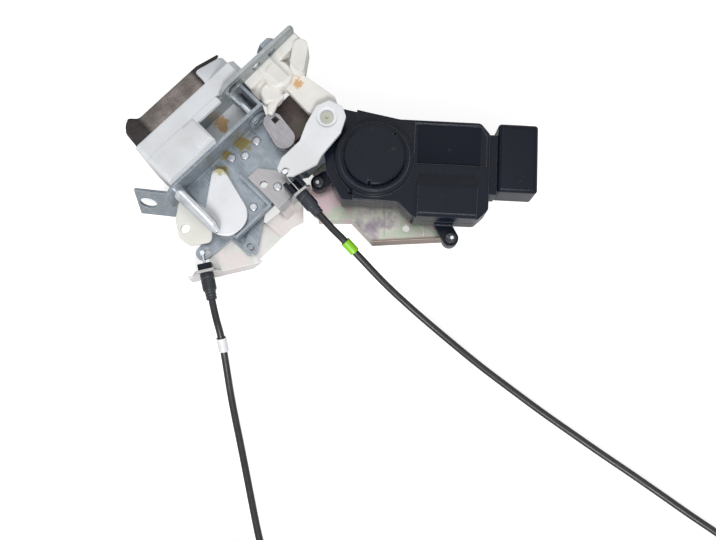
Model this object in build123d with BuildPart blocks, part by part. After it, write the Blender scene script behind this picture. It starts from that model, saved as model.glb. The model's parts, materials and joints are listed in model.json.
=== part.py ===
from build123d import *
import math
import os

os.makedirs("parts", exist_ok=True)

# The part lies on its side on a bench. Heights are counted from that bench, and the
# row origin is the striker seat: X along the latch plates, Y out of the mounting face.
seat_height = 24.0
overrun = 60.0
turn_gap = 0.05
move_gap = 0.4
plate = 2.0
sheet = 1.5
small_round = 0.8
wall = 2.4

# Striker mouth, claw and pawl
mouth_width = 11.0
mouth_rise = 5.0
claw_radius = 18.0
claw_hub_radius = 14.0
claw_thickness = 6.0
claw_travel = 50.0
claw_x = -14.0
claw_drop = 1.0
claw_pin_radius = 4.0
claw_pin_head = 6.0
throat_width = 9.0
throat_floor = 9.5
pawl_x = 17.0
pawl_rise = 14.0
pawl_hub_radius = 6.0
pawl_nose_radius = 2.0
pawl_rest_angle = 48.0
pawl_shaft_radius = 3.5
claw_height = seat_height - claw_drop
pawl_height = seat_height + pawl_rise
claw_layer = claw_thickness + 2 * move_gap
cavity_gap = 0.8

# Latch body
housing_left = 51.0
housing_roof = 20.0
housing_height = seat_height + pawl_rise + housing_roof
nose_depth = 20.0
shoulder_depth = 10.5
seal_thickness = 8.0
seal_stand = 2.0
ear_end = 70.0
ear_rise = 4.0
ear_top = housing_height + ear_rise
ear_tip = 8.5
plate_left = 47.0
plate_foot = 2.0
rear_depth = 17.0
well_left = -13.0
well_right = 19.5
well_floor = 34.0
lip_height = 3.6
plate_top = housing_height - lip_height - move_gap
mount_hole_radius = 3.3
slot_x = 18.9
hole_x = 38.0
weld_nut_x = 51.0
mount_drop = 9.0
mount_height = ear_top - mount_drop
weld_nut_across = 12.0
weld_nut_thickness = 5.0
nut_bore = 2.6

# Lever bracket
back_y = -(plate + rear_depth)
back_top = 50.0
sub_level = 28.0
sub_top = sub_level + plate
sub_left = 53.0
sub_right = 24.0
sub_depth = 46.0
leg_right = -15.0
leg_left = -45.0
leg_reach = 67.0
leg_width = 7.0
leg_rim = 4.0
bend_radius = 2.0

# Levers
lever_thickness = 3.5
inside_pivot_x = 47.1
inside_pivot_y = 54.1
inside_pivot = (inside_pivot_x, -inside_pivot_y)
inside_level = 42.5
inside_pin_radius = 3.0
cable_eye_x = 4.3
cable_eye_y = 60.7
cable_eye = (cable_eye_x, -cable_eye_y)
lift_pivot_x = 20.0
lift_pivot_y = 43.0
lift_pivot = (lift_pivot_x, -lift_pivot_y)
lift_level = 36.5
lift_width = 12.0
lock_pivot_x = 42.0
lock_pivot_y = 57.0
lock_pivot = (-lock_pivot_x, -lock_pivot_y)
lock_level = 31.0
lock_thickness = 3.2
lock_pin_radius = 3.0
lock_arm_level = 20.4
wire_arm = 24.0
wire_rise = 1.0
wire_eye = (lock_pivot[0] - wire_arm, lock_pivot[1] + wire_rise)
link_arm = 18.0
link_eye = (lock_pivot[0], lock_pivot[1] - link_arm)
outside_pivot_x = 49.0
outside_pivot_y = 33.0
outside_pivot = (-outside_pivot_x, -outside_pivot_y)
outside_level = 25.0
outside_thickness = 2.6
rod_hole_x = 63.0
rod_hole_y = 38.0
rod_hole = (-rod_hole_x, -rod_hole_y)
rod_hole_radius = 2.9
guide_pin_height = 39.0
guide_pin_radius = 4.6
guide_pin_length = 36.0
guide_pin_x = -50.0
link_level = 22.8
link_drop_level = 14.6
link_width = 8.0

rivet_radius = 1.6
rivet_head = 2.9
floor_rivet_shares = [(0.151, -0.547), (-0.2075, -0.4906), (-0.0755, -0.585), (-0.4434, -1.113)]
pad_rivet_shares = [(0.4895, 0.6286)]
pad_hole_shares = [(0.2211, 0.3643)]
pad_hole_radius = 2.4
carrier_rivet_inset = 3.0
carrier_rivet_drop = 8.0

# Cables
conduit = 4.5
wire_radius = 0.8
wire_tail = 8.0
nipple_radius = 1.5
ferrule_radius = 4.4
ferrule_length = 17.0
clip_length = 9.0
flange_step = 12.0
lock_cable_turn = -122.0
lock_cable_height = 24.0
inside_cable_turn = -94.5
inside_cable_height = 36.0
inside_clip_start = 4.5
inside_clip_length = 9.0
cable_lead = 11.0
band_length = 9.0
lock_band_start = 4.0
inside_band_start = 2.0
band_wall = 0.45
coil_radius = 25.0
coil_ease = 0.4
end_ferrule_length = 18.0
end_wire_length = 22.0

# Actuator, measured from its gear wheel along its long axis
wheel_centre_x = 51.3
wheel_centre_y = 91.7
wheel_centre = (wheel_centre_x, -wheel_centre_y)
actuator_turn = -48.0
case_foot = 19.0
case_split = 30.0
deck_rise = 8.0
dome_rise = 2.0
cap_rise = 6.0
motor_rise = 6.0
axis_rise = 0.5
extension_rise = 4.0
lug_rise = 3.0
case_deck = case_split + deck_rise
dome_height = case_deck + dome_rise
extension_top = case_split + extension_rise
case_wall = 2.4
case_length = 72.0
case_width = 26.0
wheel_dome_radius = 24.8
cap_radius = 19.2
cap_ring_radius = 22.0
cap_top = dome_height + cap_rise
wheel_radius = 17.6
wheel_thickness = 6.0
wheel_bore_radius = 3.0
worm_radius = 2.2
worm_length = 30.0
motor_radius = 10.5
motor_start = 30.0
motor_end_gap = 9.0
motor_length = case_length - motor_start - motor_end_gap
motor_side = -21.0
motor_axis_height = case_split + axis_rise
motor_top = case_deck + motor_rise
connector_neck = 5.0
connector_start = case_length + connector_neck
connector_length = 25.0
connector_side = 44.0
connector_height = 23.0
connector_foot = 17.5
lug_radius = 5.2
lug_top = case_foot + lug_rise
screw_head_radius = 3.6
bracket_level = 12.5
bracket_top = bracket_level + sheet
output_arm = 10.4
output_start = 79.0
output_level = 16.3
output_thickness = 2.2

actuator = Plane(
    origin=(wheel_centre[0], wheel_centre[1], -seat_height),
    x_dir=(math.cos(math.radians(actuator_turn)), math.sin(math.radians(actuator_turn)), 0),
    z_dir=(0, 0, 1),
)


def level(height):
    """Horizontal plane at a height above the bench."""
    return Plane.XY.offset(height - seat_height)


def case_level(height):
    """Horizontal plane of the actuator at a height above the bench."""
    return actuator.offset(height)


def upright(y):
    """Upright plane that faces -Y, with X across and height above the bench up."""
    return Plane(origin=(0, y, -seat_height), x_dir=(1, 0, 0), z_dir=(0, -1, 0))


def spread(shares, length, width, at=(0, 0)):
    """Points of an outline from shares of a length and of a width, from one point."""
    return [(at[0] + s * length, at[1] + t * width) for s, t in shares]


def polar(centre, radius, angle):
    """Point at a radius and an angle from a centre."""
    turn = math.radians(angle)
    return (centre[0] + radius * math.cos(turn), centre[1] + radius * math.sin(turn))


def finish(piece, name):
    """Label a piece and write its file."""
    piece.part.label = name
    export_step(piece.part, f"parts/{name}.step")


# Places of rivets and holes in the floor plate
pad_corner_x = 13.0
pad_corner_y = 43.0
pad_corner = (-pad_corner_x, -pad_corner_y)
pad_width = 19.0
pad_depth = 28.0
floor_rivets = spread(floor_rivet_shares, sub_left, sub_left)
pad_rivets = spread(pad_rivet_shares, pad_width, -pad_depth, pad_corner)
pad_hole = spread(pad_hole_shares, pad_width, -pad_depth, pad_corner)[0]
carrier_rivets = [(sub_right - carrier_rivet_inset, back_y - plate - carrier_rivet_drop)]

# Shared centres in the upright planes
claw_centre = (claw_x, claw_height)
pawl_centre = (pawl_x, pawl_height)
mouth_top = seat_height + mouth_rise
open_angle = math.degrees(math.atan2(claw_drop, -claw_x)) - claw_travel
nose_centre = polar(claw_centre, claw_radius + move_gap + pawl_nose_radius, pawl_rest_angle)


# Base plate: the steel plate with the mounting holes
ear_outline_shares = [
    (0.121, 0.94), (0.19, 1.0), (0.97, 1.0), (1.0, 0.96), (1.0, 0.68), (0.62, 0.52), (0.42, 0.25),
    (0.42, 0.03),
]
with BuildPart() as base_plate:
    with BuildSketch(upright(-plate)) as base_outline:
        with BuildLine():
            Polyline(
                (-plate_left, plate_foot), (-plate_left, plate_top), (ear_tip, plate_top),
                *spread(ear_outline_shares, ear_end, ear_top), close=True,
            )
        make_face()
        fillet(base_outline.vertices().group_by(Axis.X)[-1], bend_radius)
        with Locations((0, mouth_top / 2)):
            Rectangle(mouth_width, mouth_top, mode=Mode.SUBTRACT)
        with Locations((slot_x, mount_height)):
            SlotOverall(3 * mount_hole_radius, 2 * mount_hole_radius, mode=Mode.SUBTRACT)
        with Locations((hole_x, mount_height), (weld_nut_x, mount_height)):
            Circle(mount_hole_radius, mode=Mode.SUBTRACT)
        with Locations(claw_centre):
            Circle(claw_pin_radius, mode=Mode.SUBTRACT)
        with Locations(pawl_centre):
            Circle(pawl_shaft_radius + turn_gap, mode=Mode.SUBTRACT)
    extrude(amount=-plate)
finish(base_plate, "base_plate")

with BuildPart() as weld_nut:
    with BuildSketch(upright(0)):
        with Locations((weld_nut_x, mount_height)):
            RegularPolygon(weld_nut_across / 2, 6, major_radius=False)
            Circle(nut_bore, mode=Mode.SUBTRACT)
    extrude(amount=-weld_nut_thickness)
    chamfer(weld_nut.faces().sort_by(Axis.Y)[-1].outer_wire().edges(), small_round)
finish(weld_nut, "weld_nut")


# Front housing: shoulder against the base plate and a lower nose under the seal
shoulder_shares = [(-1.0, 0.0), (-1.0, 0.96), (-0.95, 1.0), (0.51, 1.0), (0.588, 0.93), (0.588, 0.0)]
core_shares = [
    (-0.88, 0.0), (-0.88, 0.90), (0.14, 0.90), (0.14, 1.0), (0.20, 1.0), (0.50, 0.87), (0.55, 0.80), (0.55, 0.0),
]
spring_room = claw_pin_head + 2.5 * wire_radius + cavity_gap
spring_layer = 3.6 * 2 * wire_radius
with BuildPart() as front_housing:
    with BuildSketch(upright(0)):
        with BuildLine():
            Polyline(*spread(shoulder_shares, housing_left, housing_height), close=True)
        make_face()
    extrude(amount=-shoulder_depth)
    with BuildSketch(upright(shoulder_depth)):
        with BuildLine():
            Polyline(*spread(core_shares, housing_left, housing_height), close=True)
        make_face()
    extrude(amount=-(nose_depth - shoulder_depth))
    with BuildSketch(upright(0)):
        with Locations(claw_centre):
            Circle(claw_radius + cavity_gap)
        with BuildLine():
            Polyline(
                (claw_x, pawl_height), (claw_x, pawl_height + claw_hub_radius),
                (pawl_x + pawl_hub_radius + cavity_gap, pawl_height + claw_hub_radius),
                (pawl_x + pawl_hub_radius + cavity_gap, pawl_height - pawl_hub_radius - cavity_gap),
                (claw_x, pawl_height - pawl_hub_radius - cavity_gap), close=True,
            )
        make_face()
    extrude(amount=-claw_layer, mode=Mode.SUBTRACT)
    with BuildSketch(upright(0)):
        with Locations((0, mouth_top / 2)):
            Rectangle(mouth_width, mouth_top)
    extrude(amount=-overrun, mode=Mode.SUBTRACT)
    with BuildSketch(upright(0)):
        with Locations(claw_centre, pawl_centre):
            Circle(spring_room)
    extrude(amount=-(claw_layer + spring_layer), mode=Mode.SUBTRACT)
    with BuildSketch(upright(0)):
        with Locations(claw_centre):
            Circle(claw_pin_radius)
    extrude(amount=-(claw_layer + spring_layer + wall), mode=Mode.SUBTRACT)
    with BuildSketch(upright(0)):
        with Locations(pawl_centre):
            Circle(pawl_shaft_radius + turn_gap)
    extrude(amount=-(claw_layer + spring_layer + wall), mode=Mode.SUBTRACT)
    with BuildSketch(upright(shoulder_depth + move_gap)):
        with Locations((0, mouth_top + mouth_width / 4)):
            Rectangle(mouth_width, mouth_width / 2)
    extrude(amount=-(nose_depth - shoulder_depth - wall), mode=Mode.SUBTRACT)
finish(front_housing, "front_housing")

with BuildPart() as striker_bumper:
    bumper_depth = nose_depth - shoulder_depth - wall
    with BuildSketch(upright(shoulder_depth + move_gap)):
        with Locations((0, mouth_top + mouth_width / 4)):
            Rectangle(mouth_width, mouth_width / 2)
    extrude(amount=-bumper_depth)
    with BuildSketch(upright(shoulder_depth + move_gap)):
        with Locations((0, mouth_top + mouth_width / 4)):
            Rectangle(mouth_width / 2, mouth_width / 8)
    extrude(amount=-bumper_depth, mode=Mode.SUBTRACT)
finish(striker_bumper, "striker_bumper")

# Foam seal: over the nose and down its left side, a thin rim down its right, and a lobe in front
seal_shares = [
    (-0.96, 0.20), (-0.96, 0.98), (-0.91, 1.035), (0.14, 1.035), (0.14, 0.90), (-0.88, 0.90), (-0.88, 0.20),
]
seal_rim_shares = [(0.0, 1.035), (0.20, 1.035), (0.53, 0.885), (0.505, 0.83), (0.18, 0.965), (0.0, 0.965)]
lobe_shares = [(-0.953, -0.125), (-0.908, 0.13), (-0.812, 0.32), (-0.684, -0.125)]
with BuildPart() as seal_pad:
    with BuildSketch(upright(shoulder_depth)):
        with BuildLine():
            Polyline(*spread(seal_shares, housing_left, housing_height), close=True)
        make_face()
    extrude(amount=-(nose_depth - shoulder_depth + seal_stand))
    with BuildSketch(upright(nose_depth)):
        with BuildLine():
            Polyline(*spread(seal_rim_shares, housing_left, housing_height), close=True)
        make_face()
    extrude(amount=-seal_stand)
    with BuildSketch(level(0.79 * housing_height)):
        with BuildLine():
            Polyline(
                *spread(lobe_shares, housing_left, seal_thickness * seal_stand, (0, nose_depth + seal_stand)),
                close=True,
            )
        make_face()
    extrude(amount=0.245 * housing_height)
finish(seal_pad, "seal_pad")


# Rear housing: the block behind the base plate, with a well beside it
with BuildPart() as rear_housing:
    with BuildSketch(upright(back_y)):
        with BuildLine():
            Polyline(
                (-housing_left, 0), (-housing_left, housing_height - wall),
                (-housing_left + wall, housing_height), (well_left, housing_height),
                (well_left, well_floor), (well_right, well_floor), (well_right, 0), close=True,
            )
        make_face()
    extrude(amount=-rear_depth)
    with BuildSketch(upright(-plate)):
        with BuildLine():
            Polyline(
                (-housing_left, housing_height - lip_height), (-housing_left, housing_height - wall),
                (-housing_left + wall, housing_height), (ear_tip - wall, housing_height),
                (ear_tip - wall, housing_height - lip_height), close=True,
            )
        make_face()
    extrude(amount=-plate)
    with BuildSketch(level(housing_height)):
        with BuildLine():
            Polyline(
                (well_left, -plate), (ear_tip - wall, -plate), (ear_tip - wall, -plate - wall),
                (well_left, -plate - wall), close=True,
            )
        make_face()
    extrude(amount=-lip_height)
    fillet(rear_housing.edges().filter_by(Axis.Y).group_by(Axis.Z)[-1], small_round)
    with BuildSketch(upright(back_y)):
        with Locations((0, mouth_top / 2)):
            Rectangle(mouth_width, mouth_top)
    extrude(amount=-overrun, mode=Mode.SUBTRACT)
    with BuildSketch(upright(back_y)):
        with Locations(pawl_centre):
            Circle(pawl_shaft_radius + cavity_gap)
        with Locations(claw_centre):
            Circle(claw_pin_head + cavity_gap)
    extrude(amount=-overrun, mode=Mode.SUBTRACT)
finish(rear_housing, "rear_housing")


# Claw in its open position, throat facing down and right
tail_angle = 58.0
prong_start = -112.0
catch_start = -18.0
catch_end = 0.0
catch_radius = 14.6
with BuildPart() as claw:
    with BuildSketch(upright(move_gap)) as claw_outline:
        with Locations(claw_centre):
            Circle(claw_hub_radius)
        with BuildLine():
            prong_from = polar(claw_centre, claw_radius, prong_start)
            prong_middle = polar(claw_centre, claw_radius, (prong_start + tail_angle) / 2)
            prong_to = polar(claw_centre, claw_radius, tail_angle)
            ThreePointArc(prong_from, prong_middle, prong_to)
            Line(prong_to, claw_centre)
            Line(claw_centre, prong_from)
        make_face()
        with Locations(polar(claw_centre, throat_floor + overrun / 2, open_angle)):
            Rectangle(overrun, throat_width, rotation=open_angle, mode=Mode.SUBTRACT)
        with Locations(polar(claw_centre, throat_floor, open_angle)):
            Rectangle(throat_width / 2, throat_width / 2, rotation=open_angle, mode=Mode.SUBTRACT)
        catch_middle = (catch_start + catch_end) / 2
        with Locations(polar(claw_centre, catch_radius + claw_radius / 2, catch_middle)):
            Rectangle(claw_radius, claw_radius / 4, rotation=catch_middle, mode=Mode.SUBTRACT)
        with Locations(claw_centre):
            Circle(claw_pin_radius + turn_gap, mode=Mode.SUBTRACT)
    extrude(amount=-claw_thickness)
finish(claw, "claw")

with BuildPart() as claw_pin:
    with BuildSketch(upright(-plate)):
        with Locations(claw_centre):
            Circle(claw_pin_radius)
    extrude(amount=-(plate + claw_layer + spring_layer + wall))
    with BuildSketch(upright(-plate)):
        with Locations(claw_centre):
            Circle(claw_pin_head)
    extrude(amount=plate)
    chamfer(claw_pin.faces().sort_by(Axis.Y)[0].edges(), small_round)
finish(claw_pin, "claw_pin")


def torsion_spring(centre, coil, leg_angle, leg_length):
    """Torsion spring of stacked round turns with one straight leg, in the spring layer."""
    with BuildPart() as spring:
        for turn in range(3):
            ring_y = claw_layer + wire_radius * (1.2 + 1.98 * turn)
            with BuildSketch(Plane(origin=(centre[0] + coil, ring_y, centre[1] - seat_height), z_dir=(0, 0, 1))):
                Circle(wire_radius)
            revolve(axis=Axis((centre[0], ring_y, centre[1] - seat_height), (0, 1, 0)))
        leg_y = claw_layer + 1.2 * wire_radius
        root = polar(centre, coil, leg_angle)
        aim = (math.cos(math.radians(leg_angle + 75)), 0, math.sin(math.radians(leg_angle + 75)))
        with BuildSketch(Plane(origin=(root[0], leg_y, root[1] - seat_height), z_dir=aim)):
            Circle(wire_radius)
        extrude(amount=leg_length)
    return spring


spring_coil = claw_pin_radius + 3 * wire_radius
claw_spring = torsion_spring(claw_centre, spring_coil, 190, 0.4 * claw_pin_radius)
finish(claw_spring, "claw_spring")
pawl_spring = torsion_spring(pawl_centre, spring_coil, 20, 0.4 * claw_pin_radius)
finish(pawl_spring, "pawl_spring")

with BuildPart() as pawl:
    with BuildSketch(upright(move_gap)) as pawl_outline:
        with Locations(pawl_centre):
            Circle(pawl_hub_radius)
        with Locations(nose_centre):
            Circle(pawl_nose_radius)
        make_hull()
        with Locations(pawl_centre):
            Circle(pawl_shaft_radius, mode=Mode.SUBTRACT)
    extrude(amount=-claw_thickness)
finish(pawl, "pawl")

arm_layer = back_y - plate - move_gap
pawl_arm_length = 7.4
with BuildPart() as pawl_shaft:
    with BuildSketch(upright(claw_layer + spring_layer)):
        with Locations(pawl_centre):
            Circle(pawl_shaft_radius)
    extrude(amount=claw_layer + spring_layer - arm_layer + plate)
    chamfer(pawl_shaft.faces().sort_by(Axis.Y)[0].edges(), small_round)
finish(pawl_shaft, "pawl_shaft")

with BuildPart() as pawl_arm:
    with BuildSketch(upright(arm_layer)):
        with Locations(pawl_centre):
            Circle(pawl_hub_radius)
        with Locations((pawl_x, pawl_height - pawl_arm_length + pawl_shaft_radius)):
            Circle(pawl_shaft_radius)
        make_hull()
        with Locations(pawl_centre):
            Circle(pawl_shaft_radius, mode=Mode.SUBTRACT)
    extrude(amount=plate)
finish(pawl_arm, "pawl_arm")


# Lever bracket: back plate, bridge to the base plate, left ear and floor plate
ear_tilt = (6.0, 6.5, 24.0)
ear_base_x = 66.0
ear_base_y = 8.0
ear_base = (-ear_base_x, -ear_base_y)
ear_run = (-0.62, 0.78, 0.0)
ear_hole_radius = 5.5
ear_width = 19.0
ear_height = 26.0
ear_middle = 19.0
ear_overlap = 8.0
wing = 6.0
ear_normal = Vector(*ear_run).cross(Vector(*ear_tilt)).normalized()
ear_plane = Plane(
    origin=(ear_base[0], ear_base[1], ear_middle - seat_height), x_dir=ear_run, z_dir=ear_normal
)
floor_shares = [
    (-1.0, 0.0), (0.453, 0.0), (0.453, 0.62), (0.11, 0.72), (0.11, 0.96), (-0.283, 0.96),
    (-0.283, 1.0), (-0.849, 1.0), (-0.849, 0.90), (-0.585, 0.90), (-0.585, 0.66), (-1.0, 0.60),
]
with BuildPart() as lever_bracket:
    with BuildSketch(upright(back_y - plate)):
        with BuildLine():
            Polyline(
                (-sub_left - wing, sub_level - leg_width), (-sub_left - wing, back_top - leg_width),
                (-sub_left + plate, back_top), (sub_right, back_top), (sub_right, sub_level),
                (-sub_left + leg_width, sub_level), (-sub_left + leg_width, sub_level - leg_width),
                close=True,
            )
        make_face()
        with Locations(pawl_centre):
            Circle(pawl_shaft_radius + turn_gap, mode=Mode.SUBTRACT)
    extrude(amount=-plate)
    with BuildSketch(Plane.YZ.offset(sub_right - plate)):
        with BuildLine():
            Polyline(
                (back_y, sub_level - seat_height), (back_y, back_top - seat_height),
                (-plate, back_top - seat_height), (-plate, sub_level - seat_height), close=True,
            )
        make_face()
    extrude(amount=plate)
    with BuildSketch(level(sub_level)):
        with BuildLine():
            Polyline(*spread(floor_shares, sub_left, -leg_reach - back_y, (0, back_y)), close=True)
        make_face()
    extrude(amount=plate)
    with BuildSketch(level(sub_top)):
        with BuildLine():
            Polyline(
                (leg_right, -sub_depth + leg_width), (leg_right, -leg_reach), (leg_left, -leg_reach),
                (leg_left, -leg_reach + sheet), (leg_right - sheet, -leg_reach + sheet),
                (leg_right - sheet, -sub_depth + leg_width), close=True,
            )
        make_face()
    extrude(amount=leg_rim)
    with BuildSketch(ear_plane) as ear_sketch:
        with Locations((-ear_overlap / 2, 0)):
            Rectangle(ear_width + ear_overlap, ear_height)
        fillet(ear_sketch.vertices().group_by(Axis.X)[0], 3 * bend_radius)
        with Locations((ear_width / 8, 0)):
            Circle(ear_hole_radius, mode=Mode.SUBTRACT)
    extrude(amount=plate / 2, both=True)
    with BuildSketch(level(sub_level)):
        with Locations(outside_pivot, lift_pivot):
            Circle(inside_pin_radius)
        with Locations(*floor_rivets, *pad_rivets, *carrier_rivets):
            Circle(rivet_radius)
        with Locations(pad_hole):
            Circle(pad_hole_radius)
    extrude(amount=plate, mode=Mode.SUBTRACT)
    with BuildSketch(upright(back_y)):
        with Locations((guide_pin_x, guide_pin_height)):
            Circle(guide_pin_radius / 2)
    extrude(amount=2 * plate, mode=Mode.SUBTRACT)
finish(lever_bracket, "lever_bracket")


def riveted(places, bottom, top, head=rivet_head):
    """Round rivets with a domed head above a stack of plates."""
    with BuildPart() as rivets:
        with BuildSketch(level(bottom)):
            with Locations(*places):
                Circle(rivet_radius)
        extrude(amount=top - bottom)
        with BuildSketch(level(top)):
            with Locations(*places):
                Circle(head)
        extrude(amount=small_round, taper=30)
    return rivets


bracket_rivets = riveted(floor_rivets, sub_level, sub_top)
finish(bracket_rivets, "bracket_rivets")

with BuildPart() as guide_pin:
    with BuildSketch(Plane.YZ.offset(guide_pin_x)):
        with BuildLine():
            pin_z = guide_pin_height - seat_height
            tip_y = back_y - plate - guide_pin_length
            Polyline(
                (back_y, pin_z), (back_y, pin_z + guide_pin_radius / 2),
                (back_y - plate, pin_z + guide_pin_radius / 2), (back_y - plate, pin_z + guide_pin_radius),
                (tip_y + guide_pin_radius, pin_z + 0.82 * guide_pin_radius),
                (tip_y, pin_z + 0.5 * guide_pin_radius), (tip_y, pin_z), close=True,
            )
        make_face()
    revolve(axis=Axis((guide_pin_x, 0, pin_z), (0, 1, 0)))
finish(guide_pin, "guide_pin")


# White moulding on the base plate that carries the inside lever on a long arm
moulding_left = 26.0
moulding_right = 71.0
moulding_depth = 6.0
arm_level = 36.5
arm_top = inside_level - move_gap
arm_reach = 36.0
tower_shares = [(0.42, 0.30, 1.5, 0.375), (0.18, 0.42, 1.25, 0.236)]
hood_shares = [(0.79, -0.36)]
hood_length = 22.0
hood_width = 9.5
hood_turn = 36.0
hood_top = ear_top - mount_drop
arm_shares = [
    (0.34, 0.0), (0.66, 0.06), (0.78, 1.0), (0.68, 1.24), (0.44, 1.24), (0.36, 0.86), (0.38, 0.30),
]
with BuildPart() as lever_moulding:
    moulding_length = moulding_right - moulding_left
    with BuildSketch(upright(-plate)) as moulding_back:
        with BuildLine():
            Polyline(
                (moulding_left, arm_level), (moulding_left, back_top - plate), (moulding_right, back_top + plate),
                (moulding_right, arm_top), (moulding_left + moulding_length / 2, arm_level), close=True,
            )
        make_face()
        fillet(moulding_back.vertices(), bend_radius)
        with Locations((hole_x, mount_height), (weld_nut_x, mount_height)):
            Circle(mount_hole_radius + small_round, mode=Mode.SUBTRACT)
    extrude(amount=moulding_depth)
    with BuildSketch(level(arm_level)) as arm_sketch:
        with BuildLine():
            Polyline(*spread(arm_shares, moulding_length, -arm_reach, (moulding_left, back_y + 4 * plate)), close=True)
        make_face()
        fillet(arm_sketch.vertices(), bend_radius)
        with BuildLine():
            Polyline(
                (moulding_left, -plate), (moulding_right, -plate), (moulding_right - moulding_depth, back_y + plate),
                (moulding_left + moulding_length / 2, back_y - 2 * plate), (moulding_left, back_y + 2 * plate),
                close=True,
            )
        make_face()
    extrude(amount=arm_top - arm_level)
    for along, down, girth, rise in tower_shares:
        place = (moulding_left + along * moulding_length, -plate - down * arm_reach)
        tower, top = girth * moulding_depth, arm_level + rise * arm_reach
        with BuildSketch(level(arm_level)):
            with Locations(place):
                Circle(tower)
        extrude(amount=top - arm_level - bend_radius)
        with BuildSketch(level(top - bend_radius)):
            with Locations(place):
                Circle(tower)
        extrude(amount=bend_radius, taper=45)
    with BuildSketch(level(arm_level)):
        with Locations(*spread(hood_shares, moulding_length, arm_reach, (moulding_left, -plate))):
            SlotOverall(hood_length, hood_width, rotation=hood_turn)
    extrude(amount=hood_top - arm_level)
    with BuildSketch(level(arm_level)):
        with Locations(inside_pivot):
            Circle(inside_pin_radius)
    extrude(amount=overrun, mode=Mode.SUBTRACT)
    with BuildSketch(upright(-plate)):
        with Locations((hole_x, mount_height), (weld_nut_x, mount_height)):
            Circle(mount_hole_radius + small_round)
    extrude(amount=overrun, mode=Mode.SUBTRACT)
finish(lever_moulding, "lever_moulding")

lever_reach = inside_pivot[0] - cable_eye[0]
lever_width = 17.0
inside_lever_shares = [
    (0.278, -0.11), (0.208, -0.465), (-0.014, -0.76), (-0.446, -0.876), (-0.586, -0.994),
    (-0.96, -0.70), (-1.07, -0.406), (-1.05, -0.11), (-0.89, 0.065), (-0.528, 0.065),
    (-0.283, 0.36), (0.02, 0.594), (0.21, 0.41),
]
lever_boss = 6.5
with BuildPart() as inside_lever:
    with BuildSketch(level(inside_level)) as lever_sketch:
        with BuildLine():
            Polyline(*spread(inside_lever_shares, lever_reach, lever_width, inside_pivot), close=True)
        make_face()
        fillet(lever_sketch.vertices(), bend_radius)
        with Locations(inside_pivot):
            Circle(inside_pin_radius + turn_gap, mode=Mode.SUBTRACT)
        with Locations((cable_eye[0] - nipple_radius, cable_eye[1])):
            SlotOverall(6 * nipple_radius, 3 * nipple_radius, mode=Mode.SUBTRACT)
    extrude(amount=lever_thickness)
    with BuildSketch(level(inside_level + lever_thickness - small_round)):
        with Locations(inside_pivot):
            Circle(lever_boss)
    extrude(amount=small_round, mode=Mode.SUBTRACT)
finish(inside_lever, "inside_lever")

inside_top = inside_level + lever_thickness - small_round
with BuildPart() as inside_lever_pin:
    with BuildSketch(level(arm_level)):
        with Locations(inside_pivot):
            Circle(inside_pin_radius)
    extrude(amount=inside_top + turn_gap - arm_level)
    with BuildSketch(level(inside_top + turn_gap)):
        with Locations(inside_pivot):
            Circle(1.4 * inside_pin_radius)
            Circle(inside_pin_radius / 3, mode=Mode.SUBTRACT)
    extrude(amount=small_round)
finish(inside_lever_pin, "inside_lever_pin")

# Lift lever: a flat steel lever with a square eye, on a post from the floor plate
lift_nose_x = 22.5
lift_nose_y = 30.5
lift_nose = (lift_nose_x, -lift_nose_y)
with BuildPart() as lift_lever:
    with BuildSketch(level(lift_level)):
        with Locations(lift_pivot):
            Circle(lift_width / 2 + small_round)
        with Locations(lift_nose):
            Circle(lift_width / 2)
        make_hull()
        with Locations((lift_nose[0] + bend_radius, lift_nose[1])):
            Rectangle(lift_width / 3, lift_width / 3, mode=Mode.SUBTRACT)
    extrude(amount=lever_thickness)
    with BuildSketch(level(lift_level)):
        with Locations(lift_pivot):
            Circle(inside_pin_radius + turn_gap)
    extrude(amount=lever_thickness - small_round, mode=Mode.SUBTRACT)
finish(lift_lever, "lift_lever")

with BuildPart() as lift_post:
    with BuildSketch(level(sub_level)):
        with Locations(lift_pivot):
            Circle(inside_pin_radius)
    extrude(amount=lift_level + lever_thickness - 2 * small_round - sub_level)
    with BuildSketch(level(sub_top)):
        with Locations(lift_pivot):
            Circle(1.6 * inside_pin_radius)
    extrude(amount=lift_level - move_gap / 2 - sub_top)
finish(lift_post, "lift_post")


# Lock lever: a pear-shaped moulding whose sleeve stands on a steel arm under the floor plate
pear_bulb_x = 39.0
pear_bulb_y = 51.0
pear_bulb = (-pear_bulb_x, -pear_bulb_y)
pear_neck_x = 25.0
pear_neck_y = 30.0
pear_neck = (-pear_neck_x, -pear_neck_y)
pear_radius = 13.5
neck_radius = 4.8
with BuildPart() as lock_lever:
    with BuildSketch(level(lock_level)):
        with Locations(pear_bulb):
            Circle(pear_radius)
        with Locations(pear_neck):
            Circle(neck_radius)
        make_hull()
    extrude(amount=lock_thickness)
    fillet(lock_lever.faces().sort_by(Axis.Z)[-1].edges(), small_round)
    with BuildSketch(level(lock_arm_level + plate)):
        with Locations(lock_pivot):
            Circle(1.6 * lock_pin_radius)
    extrude(amount=lock_level - lock_arm_level - plate)
    with BuildSketch(level(lock_arm_level)):
        with Locations(lock_pivot):
            Circle(lock_pin_radius + turn_gap)
    extrude(amount=lock_level + lock_thickness - small_round - lock_arm_level, mode=Mode.SUBTRACT)
finish(lock_lever, "lock_lever")

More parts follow.
